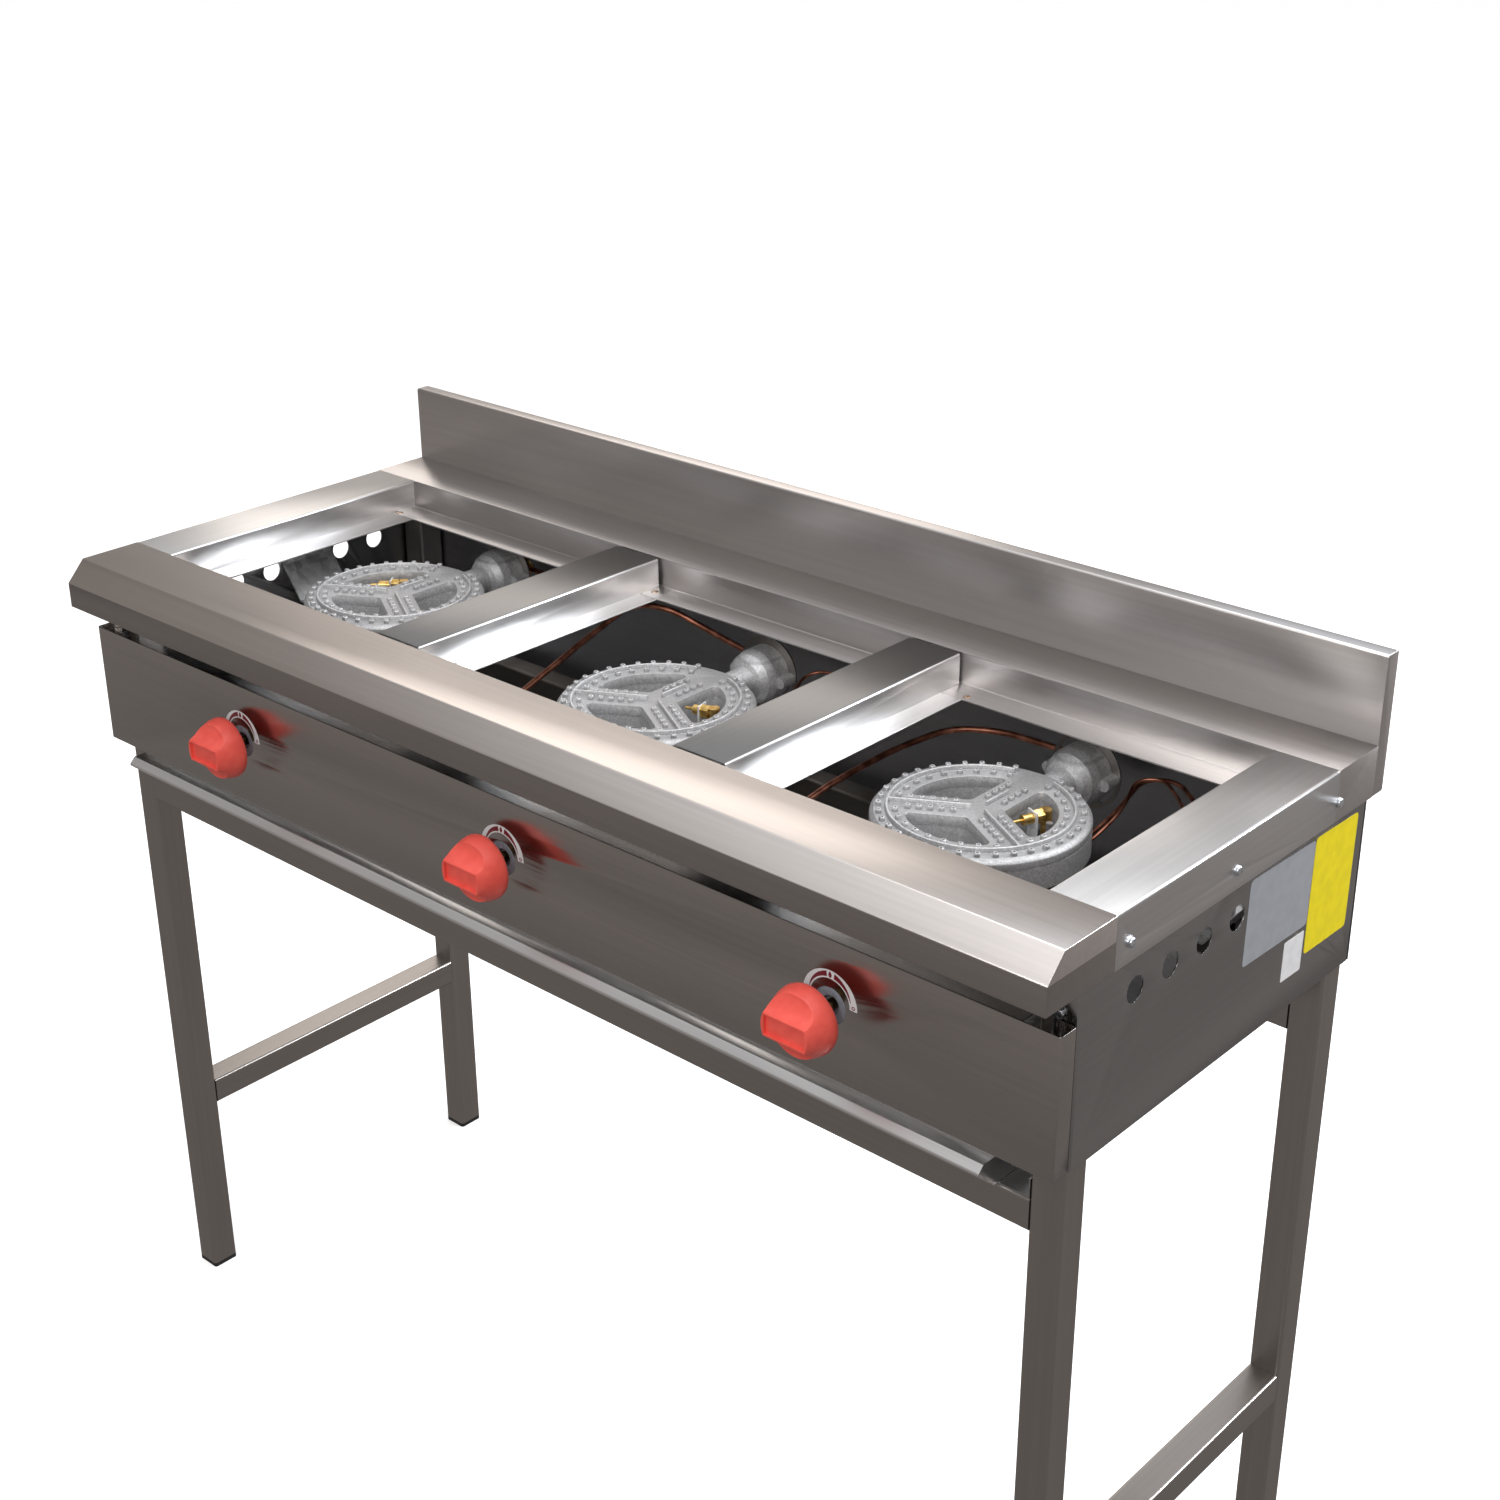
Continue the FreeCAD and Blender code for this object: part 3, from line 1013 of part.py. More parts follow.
# ---------------------------------------------------------------- gas pipe and taps
def gas_manifold():
    """One bent pipe: along the front under the taps, round the right end and out at the back."""
    corner_in = PIPE_BEND_X - PIPE_BEND_R
    corner_out = PIPE_Y + PIPE_BEND_R
    mid = V(PIPE_BEND_X - PIPE_BEND_R * (1 - math.sqrt(0.5)), PIPE_Y + PIPE_BEND_R * (1 - math.sqrt(0.5)), PIPE_Z)
    path = Part.Wire([
        Part.LineSegment(V(PIPE_LEFT_X, PIPE_Y, PIPE_Z), V(corner_in, PIPE_Y, PIPE_Z)).toShape(),
        Part.Arc(V(corner_in, PIPE_Y, PIPE_Z), mid, V(PIPE_BEND_X, corner_out, PIPE_Z)).toShape(),
        Part.LineSegment(V(PIPE_BEND_X, corner_out, PIPE_Z), V(PIPE_BEND_X, PIPE_END_Y, PIPE_Z)).toShape()])
    pipes = []
    for radius in (PIPE_OD / 2, PIPE_OD / 2 - PIPE_WALL):
        ring = Part.Wire(Part.makeCircle(radius, V(PIPE_LEFT_X, PIPE_Y, PIPE_Z), X_AXIS))
        pipes.append(path.makePipeShell([ring], True, False))
    pipe = pipes[0].cut(pipes[1])
    plug = rod(PIPE_OD / 2 - PIPE_WALL, PIPE_WALL * 2, (PIPE_LEFT_X, PIPE_Y, PIPE_Z), X_AXIS)
    return fused([pipe, plug])


def gas_inlet():
    """The hexagon and male thread on the pipe's rear end, where the gas hose is joined."""
    nut = hexagon(INLET_HEX, INLET_HEX_LENGTH, (PIPE_BEND_X, PIPE_END_Y, PIPE_Z), Y_AXIS)
    thread = rod(INLET_THREAD_R, INLET_THREAD_LENGTH, (PIPE_BEND_X, PIPE_END_Y + INLET_HEX_LENGTH, PIPE_Z), Y_AXIS)
    bore = rod(INLET_BORE_R, 2 * INLET_THREAD_LENGTH, (PIPE_BEND_X, PIPE_END_Y, PIPE_Z), Y_AXIS)
    return fused([nut, thread]).cut(bore)


def gas_taps():
    taps = []
    face_in = CONTROL_FACE_Y + BODY_SHEET
    front = face_in + TAP_NECK_LENGTH
    stem_bore_end = STEM_REAR_Y + PUSH_TRAVEL + TAP_BORE_SPARE
    plunger_end = STEM_REAR_Y + PLUNGER_GAP + PLUNGER_LENGTH + PUSH_TRAVEL + TAP_BORE_SPARE
    for x in KNOB_XS.values():
        body = block((x - TAP_WIDTH / 2, x + TAP_WIDTH / 2), (front, TAP_REAR_Y),
                     (KNOB_Z - TAP_HEIGHT / 2, KNOB_Z + TAP_HEIGHT / 2))
        neck = rod(TAP_NECK_R, TAP_NECK_LENGTH + CUT_SPARE, (x, face_in, KNOB_Z), Y_AXIS)
        boss = rod(TAP_BOSS_R, KNOB_Z - PIPE_Z, (x, PIPE_Y, PIPE_Z), Z_AXIS)
        plate = block((x - TAP_PLATE / 2, x + TAP_PLATE / 2), (face_in, face_in + TAP_PLATE_THICKNESS),
                      (KNOB_Z - TAP_PLATE / 2, KNOB_Z + TAP_PLATE / 2))
        tap = fused([body, neck, boss, plate])
        tap = tap.cut(rod(TAP_RECESS_R, TAP_RECESS_DEPTH, (x, face_in, KNOB_Z), Y_AXIS))
        saddle = rod(PIPE_OD / 2 + TAP_SADDLE_CLEARANCE, 2 * TAP_WIDTH, (x - TAP_WIDTH, PIPE_Y, PIPE_Z), X_AXIS)
        stem_bore = rod(STEM_RADIUS + STEM_RUN_CLEARANCE, stem_bore_end - face_in, (x, face_in, KNOB_Z), Y_AXIS)
        plunger_bore = rod(PLUNGER_RADIUS + STEM_RUN_CLEARANCE, plunger_end - face_in, (x, face_in, KNOB_Z), Y_AXIS)
        taps.append(tap.cut(saddle).cut(stem_bore).cut(plunger_bore))
    return group(taps)


def tap_plunger(name):
    """The push rod that opens the flame-failure valve while the knob is held in."""
    return rod(PLUNGER_RADIUS, PLUNGER_LENGTH, (KNOB_XS[name], STEM_REAR_Y + PLUNGER_GAP, KNOB_Z), Y_AXIS)


def knob_stem(name):
    start_y = KNOB_REARS[name] - STEM_IN_KNOB
    return rod(STEM_RADIUS, STEM_REAR_Y - start_y, (KNOB_XS[name], start_y, KNOB_Z), Y_AXIS)


def knob(name):
    """A cone on a round skirt; scoops above and below leave a wing grip across its front."""
    rear_r = KNOB_RADIUS - KNOB_EDGE_INSET
    corners = [V(0, 0, 0), V(rear_r, 0, 0), V(KNOB_RADIUS, -KNOB_EDGE_DEPTH, 0), V(rear_r, -KNOB_SKIRT, 0),
               V(WING_WIDTH / 2, -KNOB_DEPTH, 0), V(0, -KNOB_DEPTH, 0)]
    blank = Part.Face(Part.makePolygon(corners + corners[:1])).revolve(V(0, 0, 0), Y_AXIS, 360)
    across = (-2 * KNOB_RADIUS, 2 * KNOB_RADIUS)
    for way in (-1, 1):
        centre_z = way * (WING_THICKNESS / 2 + SCOOP_RADIUS)
        scoop = rod(SCOOP_RADIUS, 4 * KNOB_RADIUS, (across[0], -SCOOP_FLOOR - SCOOP_RADIUS, centre_z), X_AXIS)
        beyond = sorted((centre_z, way * 2 * KNOB_RADIUS))
        blank = blank.cut(scoop).cut(block(across, (-KNOB_DEPTH - CUT_SPARE, -SCOOP_FLOOR), beyond))
    half_w = WING_WIDTH / 2 - 2 * WING_POCKET_RIM
    half_t = WING_THICKNESS / 2 - WING_POCKET_RIM
    pocket_y = (-KNOB_DEPTH - CUT_SPARE, -KNOB_DEPTH + WING_POCKET_DEPTH)
    blank = blank.cut(block((-half_w, half_w), pocket_y, (-half_t, half_t)))
    cavity = rod(KNOB_RADIUS - KNOB_WALL, KNOB_CAVITY_DEPTH, (0, -KNOB_CAVITY_DEPTH, 0), Y_AXIS)
    cavity = cavity.cut(rod(KNOB_HUB_R, KNOB_CAVITY_DEPTH, (0, -KNOB_CAVITY_DEPTH, 0), Y_AXIS))
    blank = blank.cut(cavity).cut(rod(STEM_RADIUS, STEM_IN_KNOB, (0, -STEM_IN_KNOB, 0), Y_AXIS))
    blank.translate(V(KNOB_XS[name], KNOB_REARS[name], KNOB_Z))
    return blank


# ---------------------------------------------------------------- copper tubes and leads
def tap_port(name, side, rise):
    """A port on a tap's rear face: side -1, 0 or 1 across, rise above the stem's axis."""
    return (KNOB_XS[name] + side * TAP_PORT_OFFSET, TAP_REAR_Y, KNOB_Z + rise)


def injector_port(name):
    x, y = BURNER_PLACES[name]
    return (x + FEED_SIDE[name] * INJECTOR_PORT_REACH, y + MOUTH_Y + INJECTOR_SET_BACK, NECK_Z)


def pilot_port(name):
    x, y = BURNER_PLACES[name]
    dx, dy = PILOT_BACK[name]
    return (x + dx, y + dy, PILOT_Z - PILOT_INLET_DROP)


def probe_port(name):
    x, y = BURNER_PLACES[name]
    dx, dy = PROBE_REL[name]
    return (x + dx, y + dy, PILOT_Z - PROBE_HEIGHT)


# The tubes' routes, as places about each burner's centre and below its top.
FEED_ROUTES = {
    "left": [(75.5, -124, -60), (113.5, -76, -52), (125.5, -14, -42), (123.5, 81, -31), (99.5, 154, -22)],
    "middle": [(-32, -106, -60), (-114, -90, -57), (-171, -56, -50), (-180, 13, -35), (-180, 98, -8),
               (-172, 142, 11), (-138, 162, 9), (-100, 176, -8)],
    "right": [(-21.5, -127, -58), (-113.5, -109, -50), (-164.5, -69, -41), (-169.5, -2, -33),
              (-169.5, 98, -30), (-149.5, 158, -23), (-103.5, 177, -20)],
}
PILOT_ROUTES = {
    "left": [(17.5, -134, -59), (-22.5, -96, -51), (-31.5, -32, -46), (-26.5, 16, -45)],
    "middle": [(60, -118, -61), (112, -80, -54), (137, 3, -49), (135, 103, -37), (114, 170, -25),
               (80, 196, -19), (51, 184, -21), (64, 144, -34), (62, 80, -44), (52, 39, -45)],
    "right": [(80.5, -129, -59), (146.5, -79, -51), (168.5, 5, -45), (154.5, 98, -33), (116.5, 160, -23),
              (76.5, 188, -18), (46.5, 177, -21), (51.5, 131, -34), (50.5, 81, -44), (42.5, 52, -45)],
}
LEAD_ROUTES = {
    "left": [(9.5, -144, -76), (-36.5, -104, -65), (-51.5, -42, -53), (-45.5, 8, -44)],
    "middle": [(54, -120, -76), (102, -82, -63), (123, 3, -44), (121, 96, -30), (105, 156, -18),
               (74, 182, -11), (39, 172, -14), (48, 130, -30), (46, 80, -41)],
    "right": [(70.5, -129, -74), (132.5, -77, -58), (156.5, 5, -40), (143.5, 93, -26), (107.5, 147, -17),
              (71.5, 171, -11), (50.5, 159, -14), (61.5, 123, -27), (60.5, 73, -41)],
}


def route_places(routes, name):
    """A route's points moved from about its burner to their place in the range."""
    x, y = BURNER_PLACES[name]
    return [(x + dx, y + dy, BURNER_TOP_Z + dz) for dx, dy, dz in routes[name]]


def straight_back(port):
    """The end of a tube's straight start, square to the tap's rear face."""
    x, y, z = port
    return (x, y + TAP_STRAIGHT, z)


def feed_tube(name):
    port = tap_port(name, FEED_SIDE[name], TAP_PORT_RISE)
    x, y, z = injector_port(name)
    beside = (x + FEED_SIDE[name] * FEED_STRAIGHT, y, z)
    route = [port, straight_back(port)] + route_places(FEED_ROUTES, name) + [beside, (x, y, z)]
    return routed_tube(route, FEED_TUBE_R)


def pilot_tubes():
    tubes = []
    for name in BURNER_PLACES:
        port = tap_port(name, -FEED_SIDE[name], TAP_PORT_RISE)
        x, y, z = pilot_port(name)
        end = [(x, y, z - PILOT_STRAIGHT), (x, y, z)]
        route = [port, straight_back(port)] + route_places(PILOT_ROUTES, name) + end
        tubes.append(routed_tube(route, PILOT_TUBE_R))
    return group(tubes)


def probe_leads():
    leads = []
    for name in BURNER_PLACES:
        port = tap_port(name, 0, -TAP_PORT_RISE)
        x, y, z = probe_port(name)
        end = [(x, y, z - LEAD_STRAIGHT), (x, y, z)]
        route = [port, straight_back(port)] + route_places(LEAD_ROUTES, name) + end
        leads.append(routed_tube(route, LEAD_R))
    return group(leads)


# ---------------------------------------------------------------- all nodes
def all_nodes():
    nodes = {
        "foot_plugs": foot_plugs(),
        "front_rail": cross_rail(LEG_SET_BACK),
        "rear_rail": cross_rail(LEG_REAR - TUBE),
        "top_front_rail": top_front_rail(),
        "rear_ledge": rear_ledge(),
        "splash_back": splash_back(),
        "back_panel": back_panel(),
        "control_panel": control_panel(),
        "top_screws": top_screws(),
        "body_screws": body_screws(),
        "drip_tray": drip_tray(),
        "burner_beam": burner_beam(),
        "burner_bolts": burner_bolts(),
        "shutter_screws": shutter_screws(),
        "injectors": injectors(),
        "pilots": pilots(),
        "flame_probes": flame_probes(),
        "pilot_clips": pilot_clips(),
        "gas_manifold": gas_manifold(),
        "gas_inlet": gas_inlet(),
        "gas_taps": gas_taps(),
        "pilot_tubes": pilot_tubes(),
        "probe_leads": probe_leads(),
    }
    for word, side in SIDES.items():
        nodes["leg_front_" + word] = leg(side, True)
        nodes["leg_rear_" + word] = leg(side, False)
        nodes["side_rail_" + word] = side_rail(side)
        nodes["side_panel_" + word] = side_panel(side)
        nodes["end_bar_" + word] = end_bar(side)
        nodes["mid_bar_" + word] = mid_bar(side)
        nodes["tray_runner_" + word] = tray_runner(side)
        nodes["beam_bracket_" + word] = beam_bracket(side)
    head = burner_head()
    body = burner_body()
    shutter = air_shutter()
    for name in BURNER_PLACES:
        nodes["burner_head_" + name] = placed(head, name)
        nodes["burner_body_" + name] = placed(body, name)
        nodes["air_shutter_" + name] = placed(shutter, name)
        nodes["tap_plunger_" + name] = tap_plunger(name)
        nodes["knob_stem_" + name] = knob_stem(name)
        nodes["knob_" + name] = knob(name)
        nodes["feed_tube_" + name] = feed_tube(name)
    return nodes


def main():
    os.makedirs("parts", exist_ok=True)
    for name, shape in all_nodes().items():
        moved = shape.copy()
        moved.translate(V(0, -ORIGIN_Y, 0))
        moved.exportStep("parts/" + name + ".step")
        print(name, len(moved.Solids), "solids, valid", moved.isValid())


main()
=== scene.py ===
# %% [markdown]
# # Dressing a three-burner wok range
#
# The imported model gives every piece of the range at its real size: sheet steel, square tube, cast burners, brass,
# copper and plastic. This lesson leaves those solids where they are and adds what a drawing lacks: the brushed grain
# of the steel, the sandy skin of the castings, the ports on top of the burners, the marks round the knobs and the
# stickers on the side. Everything is in metres, with +Z up and the range's front facing -Y.

# %% Load the frame
import json
import math
import bpy
import bmesh
import numpy as np
from mathutils import Matrix, Vector

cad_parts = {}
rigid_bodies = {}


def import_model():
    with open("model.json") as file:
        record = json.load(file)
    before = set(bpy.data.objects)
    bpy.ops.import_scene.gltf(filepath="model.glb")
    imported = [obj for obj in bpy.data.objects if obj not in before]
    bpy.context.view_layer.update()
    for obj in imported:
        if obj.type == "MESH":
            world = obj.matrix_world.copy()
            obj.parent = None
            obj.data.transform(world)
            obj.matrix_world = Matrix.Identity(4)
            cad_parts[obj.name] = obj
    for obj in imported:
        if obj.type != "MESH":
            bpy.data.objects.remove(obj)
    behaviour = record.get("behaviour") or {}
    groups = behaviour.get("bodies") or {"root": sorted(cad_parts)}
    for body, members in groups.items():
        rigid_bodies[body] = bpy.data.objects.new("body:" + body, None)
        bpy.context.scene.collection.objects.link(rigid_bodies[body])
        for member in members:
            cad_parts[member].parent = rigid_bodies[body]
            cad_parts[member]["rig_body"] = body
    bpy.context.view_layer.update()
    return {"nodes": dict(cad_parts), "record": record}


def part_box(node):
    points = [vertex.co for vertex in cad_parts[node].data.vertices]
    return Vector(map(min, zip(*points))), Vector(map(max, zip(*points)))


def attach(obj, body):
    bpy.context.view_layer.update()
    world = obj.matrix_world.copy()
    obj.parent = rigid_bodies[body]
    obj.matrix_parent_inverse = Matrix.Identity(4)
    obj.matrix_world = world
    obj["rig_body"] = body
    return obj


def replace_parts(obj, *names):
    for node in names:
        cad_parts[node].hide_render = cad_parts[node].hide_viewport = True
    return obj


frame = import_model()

nodes = frame["nodes"]

# %% [markdown]
# ## Camera, floor and light
#
# The photograph was taken from the right, at about eye height, with a rather long lens. A camera is a
# place, a point that it looks at, a roll and a focal length; `to_track_quat` turns the first two into a rotation.
# The picture behind the range is white, so the floor is a large pale sheet that fills the view.

# %% Camera
CAMERA_PLACE = Vector((1.35184, -1.36433, 1.66334))
CAMERA_AIM = Vector((0.11947, 0.00075, 0.81313))
CAMERA_ROLL = math.radians(-0.3475)
LENS = 54.4676
SENSOR = 36.0

camera_data = bpy.data.cameras.new("camera")
camera_data.lens = LENS
camera_data.sensor_width = SENSOR
camera = bpy.data.objects.new("camera", camera_data)
bpy.context.scene.collection.objects.link(camera)
aim = (CAMERA_AIM - CAMERA_PLACE).to_track_quat("-Z", "Y").to_matrix().to_4x4()
camera.matrix_world = Matrix.Translation(CAMERA_PLACE) @ aim @ Matrix.Rotation(CAMERA_ROLL, 4, "Z")
bpy.context.scene.camera = camera
print("camera looks", round(math.degrees(math.asin(-(CAMERA_AIM - CAMERA_PLACE).normalized().z)), 1), "degrees down")

# %% [markdown]
# Steel is a mirror with a blur, so it shows the room more than its own colour. The world is therefore a soft
# gradient: warm and dim low down, bright and neutral overhead. The floor keeps out of the reflections, as the dark
# cloth in front of a photographer's table would, which is why the upright panels look so much darker than the top.

# %% World and floor
FLOOR_SIZE = 80.0
FLOOR_COLOUR = (0.86, 0.86, 0.86, 1.0)
SKY_STOPS = [(0.0, (0.20, 0.185, 0.178)), (0.47, (0.30, 0.275, 0.262)), (0.53, (0.27, 0.245, 0.228)),
             (0.66, (0.22, 0.20, 0.185)), (0.80, (0.42, 0.41, 0.405)), (1.0, (1.10, 1.12, 1.15))]
FLOOR_GLOW = 0.55

world = bpy.data.worlds.new("studio")
bpy.context.scene.world = world
world.use_nodes = True
sky = world.node_tree
direction = sky.nodes.new("ShaderNodeTexCoord")
height = sky.nodes.new("ShaderNodeSeparateXYZ")
sky.links.new(direction.outputs["Generated"], height.inputs[0])
spread = sky.nodes.new("ShaderNodeMapRange")
spread.inputs["From Min"].default_value = -1.0
sky.links.new(height.outputs["Z"], spread.inputs["Value"])
ramp = sky.nodes.new("ShaderNodeValToRGB")
while len(ramp.color_ramp.elements) < len(SKY_STOPS):
    ramp.color_ramp.elements.new(0.5)
for stop, (position, colour) in zip(ramp.color_ramp.elements, SKY_STOPS):
    stop.position = position
    stop.color = (*colour, 1.0)
sky.links.new(spread.outputs["Result"], ramp.inputs["Fac"])
sky.links.new(ramp.outputs["Color"], sky.nodes["Background"].inputs["Color"])

floor_mesh = bpy.data.meshes.new("floor")
half = FLOOR_SIZE / 2
floor_mesh.from_pydata([(-half, -half, 0), (half, -half, 0), (half, half, 0), (-half, half, 0)], [], [(0, 1, 2, 3)])
floor = bpy.data.objects.new("floor", floor_mesh)
bpy.context.scene.collection.objects.link(floor)
floor_finish = bpy.data.materials.new("floor")
floor_finish.use_nodes = True
floor_shader = floor_finish.node_tree.nodes["Principled BSDF"]
floor_shader.inputs["Base Color"].default_value = FLOOR_COLOUR
floor_shader.inputs["Roughness"].default_value = 0.9
floor_shader.inputs["Emission Color"].default_value = FLOOR_COLOUR
floor_shader.inputs["Emission Strength"].default_value = FLOOR_GLOW
floor.data.materials.append(floor_finish)
floor.visible_glossy = False
floor.visible_diffuse = False
bpy.context.scene.view_settings.view_transform = "Standard"

# %% [markdown]
# Soft boxes do the rest. A flat mirror shows only what lies in one direction, and that decides their places. The
# tops of the rails show the back left: a warm box for the middle of the range and a cool one for its right end. The
# inner walls of the bars, with the flange below them, send the eye to the back right, where a small cool box draws
# their bright bands. The boxes above and at the front right light knobs, burners and the slope of the nose.

# %% Soft boxes
SOFT_BOXES = {
    "light_back_left": {"place": (-2.2, 2.1, 2.4), "size": (2.1, 1.5), "watts": 17.0, "colour": (1.0, 0.92, 0.85)},
    "light_back": {"place": (0.15, 3.0, 2.8), "size": (1.6, 1.4), "watts": 6.5, "colour": (0.80, 0.89, 1.0)},
    "light_back_right": {"place": (2.25, 2.35, 2.15), "size": (0.9, 0.8), "watts": 78.0, "colour": (0.93, 0.96, 1.0)},
    "light_above": {"place": (1.0, 0.5, 3.4), "size": (2.4, 2.0), "watts": 48.0, "colour": (1.0, 1.0, 1.0)},
    "light_front": {"place": (1.3, -2.9, 2.7), "size": (1.6, 1.6), "watts": 54.0, "colour": (1.0, 0.99, 0.98)},
}
LIGHT_AIM = Vector((0.0, 0.0, 0.84))
for name, box in SOFT_BOXES.items():
    lamp = bpy.data.lights.new(name, "AREA")
    lamp.shape = "RECTANGLE"
    lamp.size, lamp.size_y = box["size"]
    lamp.energy = box["watts"]
    lamp.color = box["colour"]
    fixture = bpy.data.objects.new(name, lamp)
    fixture.location = box["place"]
    fixture.rotation_euler = (LIGHT_AIM - Vector(box["place"])).to_track_quat("-Z", "Y").to_euler()
    bpy.context.scene.collection.objects.link(fixture)
print("lit by", len(SOFT_BOXES), "soft boxes")

# %% [markdown]
# ## Writing a finish
#
# A finish is a small sum: grain plus clouds, times a tint. `Wire` holds one output of a node and lets it be added
# and multiplied like a number, and `Finish` makes any other node from its type, settings and inputs. Patterns read
# Object coordinates, which are metres in the range's own frame, because every mesh sits at the origin.

# %% Wire and Finish
class Wire:
    """One output socket. Sums on wires, or on a wire and a number, add Math nodes to its finish."""

    def __init__(self, finish, socket):
        self.finish = finish
        self.socket = socket

    def sum(self, operation, first, second):
        """The wire of a Math node: first and second joined by the operation."""
        return self.finish.node("ShaderNodeMath", {"operation": operation}, {0: first, 1: second})

    def __add__(self, other):
        return self.sum("ADD", self, other)

    def __rsub__(self, other):
        return self.sum("SUBTRACT", other, self)

    def __mul__(self, other):
        return self.sum("MULTIPLY", self, other)

    __radd__ = __add__

    def step(self, low, high):
        """0 below low, 1 above high, and a smooth rise between them."""
        inputs = {"Value": self, "From Min": low, "From Max": high}
        return self.finish.node("ShaderNodeMapRange", {"interpolation_type": "SMOOTHSTEP"}, inputs)


class Finish:
    """A material under construction: `node` adds any node, `wear` sets what the shader shows."""

    def __init__(self, name, **constants):
        self.material = bpy.data.materials.new(name)
        self.material.use_nodes = True
        self.tree = self.material.node_tree
        self.shader = self.tree.nodes["Principled BSDF"]
        self.wear(**constants)

    def join(self, value, socket):
        """Links a wire to the socket, or sets the socket to a plain value."""
        if isinstance(value, Wire):
            self.tree.links.new(value.socket, socket)
        else:
            socket.default_value = value

    def node(self, kind, settings=None, inputs=None, output=0):
        """The wire of a new node of this kind, with its settings made and its inputs joined."""
        made = self.tree.nodes.new(kind)
        for key, value in (settings or {}).items():
            setattr(made, key, value)
        for key, value in (inputs or {}).items():
            self.join(value, made.inputs[key])
        return Wire(self, made.outputs[output])

    def place(self, scale=(1.0, 1.0, 1.0)):
        """Object coordinates in metres, stretched by scale along each axis."""
        here = self.node("ShaderNodeTexCoord", output="Object")
        return self.node("ShaderNodeMapping", {}, {"Vector": here, "Scale": scale})

    def noise(self, scale, detail=2.0, roughness=0.5):
        """Smooth random values from 0 to 1; scale is grains per metre along each axis."""
        inputs = {"Vector": self.place(scale), "Scale": 1.0, "Detail": detail, "Roughness": roughness}
        return self.node("ShaderNodeTexNoise", {}, inputs)

    def blend(self, factor, first, second):
        """The colour first where factor is 0 and second where it is 1."""
        return self.node("ShaderNodeMix", {"data_type": "RGBA"}, {0: factor, 6: first, 7: second}, output=2)

    def bump(self, height, strength, distance):
        """Normals tilted by the slope of the height, which goes from 0 to distance metres, times the strength."""
        return self.node("ShaderNodeBump", {}, {"Height": height, "Strength": strength, "Distance": distance})

    def wear(self, **sockets):
        """Sets sockets of the shader; an underscore in a keyword stands for a space."""
        for key, value in sockets.items():
            self.join(value, self.shader.inputs[key.replace("_", " ").title().replace("Ior", "IOR")])
        return self.material


def shade(colour, factor):
    """The colour times a factor, with an alpha of 1."""
    return (*[channel * factor for channel in colour], 1.0)


# %% [markdown]
# ## Brushed steel
#
# A belt grinder leaves fine straight scratches along the sheet. They are noise that is squeezed hard across the
# grain and stretched along it, at two sizes: hairlines and broader bands. A slow cloud on top keeps large panels
# from looking printed. The grain follows the length of each piece, so the same recipe is made once per direction.
# Some upper faces carry painted light: such a piece is given a level and a share, and above the level its tint is
# multiplied by the share, a painted highlight where the share is above 1 and painted shade where it is below 1.

# %% Brushed steel
HAIRLINES = 6000.0
BANDS = 260.0
ALONG_GRAIN = 4.0
CLOUDS = 6.0
BAND_SHARE = 0.6
TONE_STEP = (0.25, 0.75)
ROUGHNESS_SWING = 0.08
HAIR_DEPTH = 0.0004
PAINTED_TOP_FADE = 0.0004
NOSE_DROP = 0.0210
WORK_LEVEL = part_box("mid_bar_left")[1].z
WORK_FLAT_LEVEL = WORK_LEVEL - 0.0002
NOSE_LEVEL = WORK_LEVEL - NOSE_DROP
PANEL_FLAT_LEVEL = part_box("control_panel")[1].z - 0.0001


def brushed(name, tint, grain, roughness=0.33, contrast=0.05, scratch=0.05, top=None):
    """
    Steel ground along the axis named by grain. Tone is bands times their share plus clouds times the rest; the colour
    goes with it from the tint less the contrast to the tint plus the contrast, and the roughness swings round its own
    value. top is a level in metres and the tint's share above it, which paints light or shade on the upper faces.
    """
    finish = Finish(name, metallic=1.0)
    hair_scale = [HAIRLINES] * 3
    band_scale = [BANDS] * 3
    for scale in (hair_scale, band_scale):
        scale["XYZ".index(grain)] = ALONG_GRAIN
    hairs = finish.noise(hair_scale, detail=1.0)
    bands = finish.noise(band_scale, detail=2.0)
    clouds = finish.noise([CLOUDS] * 3, detail=3.0)
    tone = bands * BAND_SHARE + clouds * (1 - BAND_SHARE)
    spread = tone.step(*TONE_STEP)
    colour = finish.blend(spread, shade(tint, 1 - contrast), shade(tint, 1 + contrast))
    # Painted light: above the level the tint is scaled by the share, brightening the upper faces for a share above 1
    # and darkening them for one below.
    if top:
        level, share = top
        above = finish.blend(spread, shade(tint, share * (1 - contrast)), shade(tint, share * (1 + contrast)))
        height = finish.node("ShaderNodeSeparateXYZ", {}, {0: finish.place()}, output="Z")
        colour = finish.blend(height.step(level - PAINTED_TOP_FADE, level), colour, above)
    return finish.wear(
        base_color=colour,
        roughness=roughness - ROUGHNESS_SWING / 2 + tone * ROUGHNESS_SWING,
        normal=finish.bump(hairs, scratch, HAIR_DEPTH),
    )


RAIL_TINT = (0.37, 0.345, 0.33)
TOP_TINT = (0.60, 0.575, 0.565)
BAR_TINT = (0.84, 0.84, 0.845)
END_TINT = (0.66, 0.655, 0.655)
BODY_TINT = (0.42, 0.395, 0.375)
SIDE_TINT = (0.36, 0.36, 0.362)
BACK_TINT = (0.34, 0.345, 0.365)
STAND_TINT = (0.38, 0.355, 0.335)
TRAY_TINT = (0.80, 0.80, 0.80)
PLAIN_TINT = (0.30, 0.28, 0.265)
# The beam's tint is darkened far below steel's own: painted shade for its place under the burners.
BEAM_TINT_IN_SHADE = (0.13, 0.12, 0.11)
PIPE_TINT = (0.20, 0.19, 0.18)
PROBE_TINT = (0.50, 0.49, 0.48)

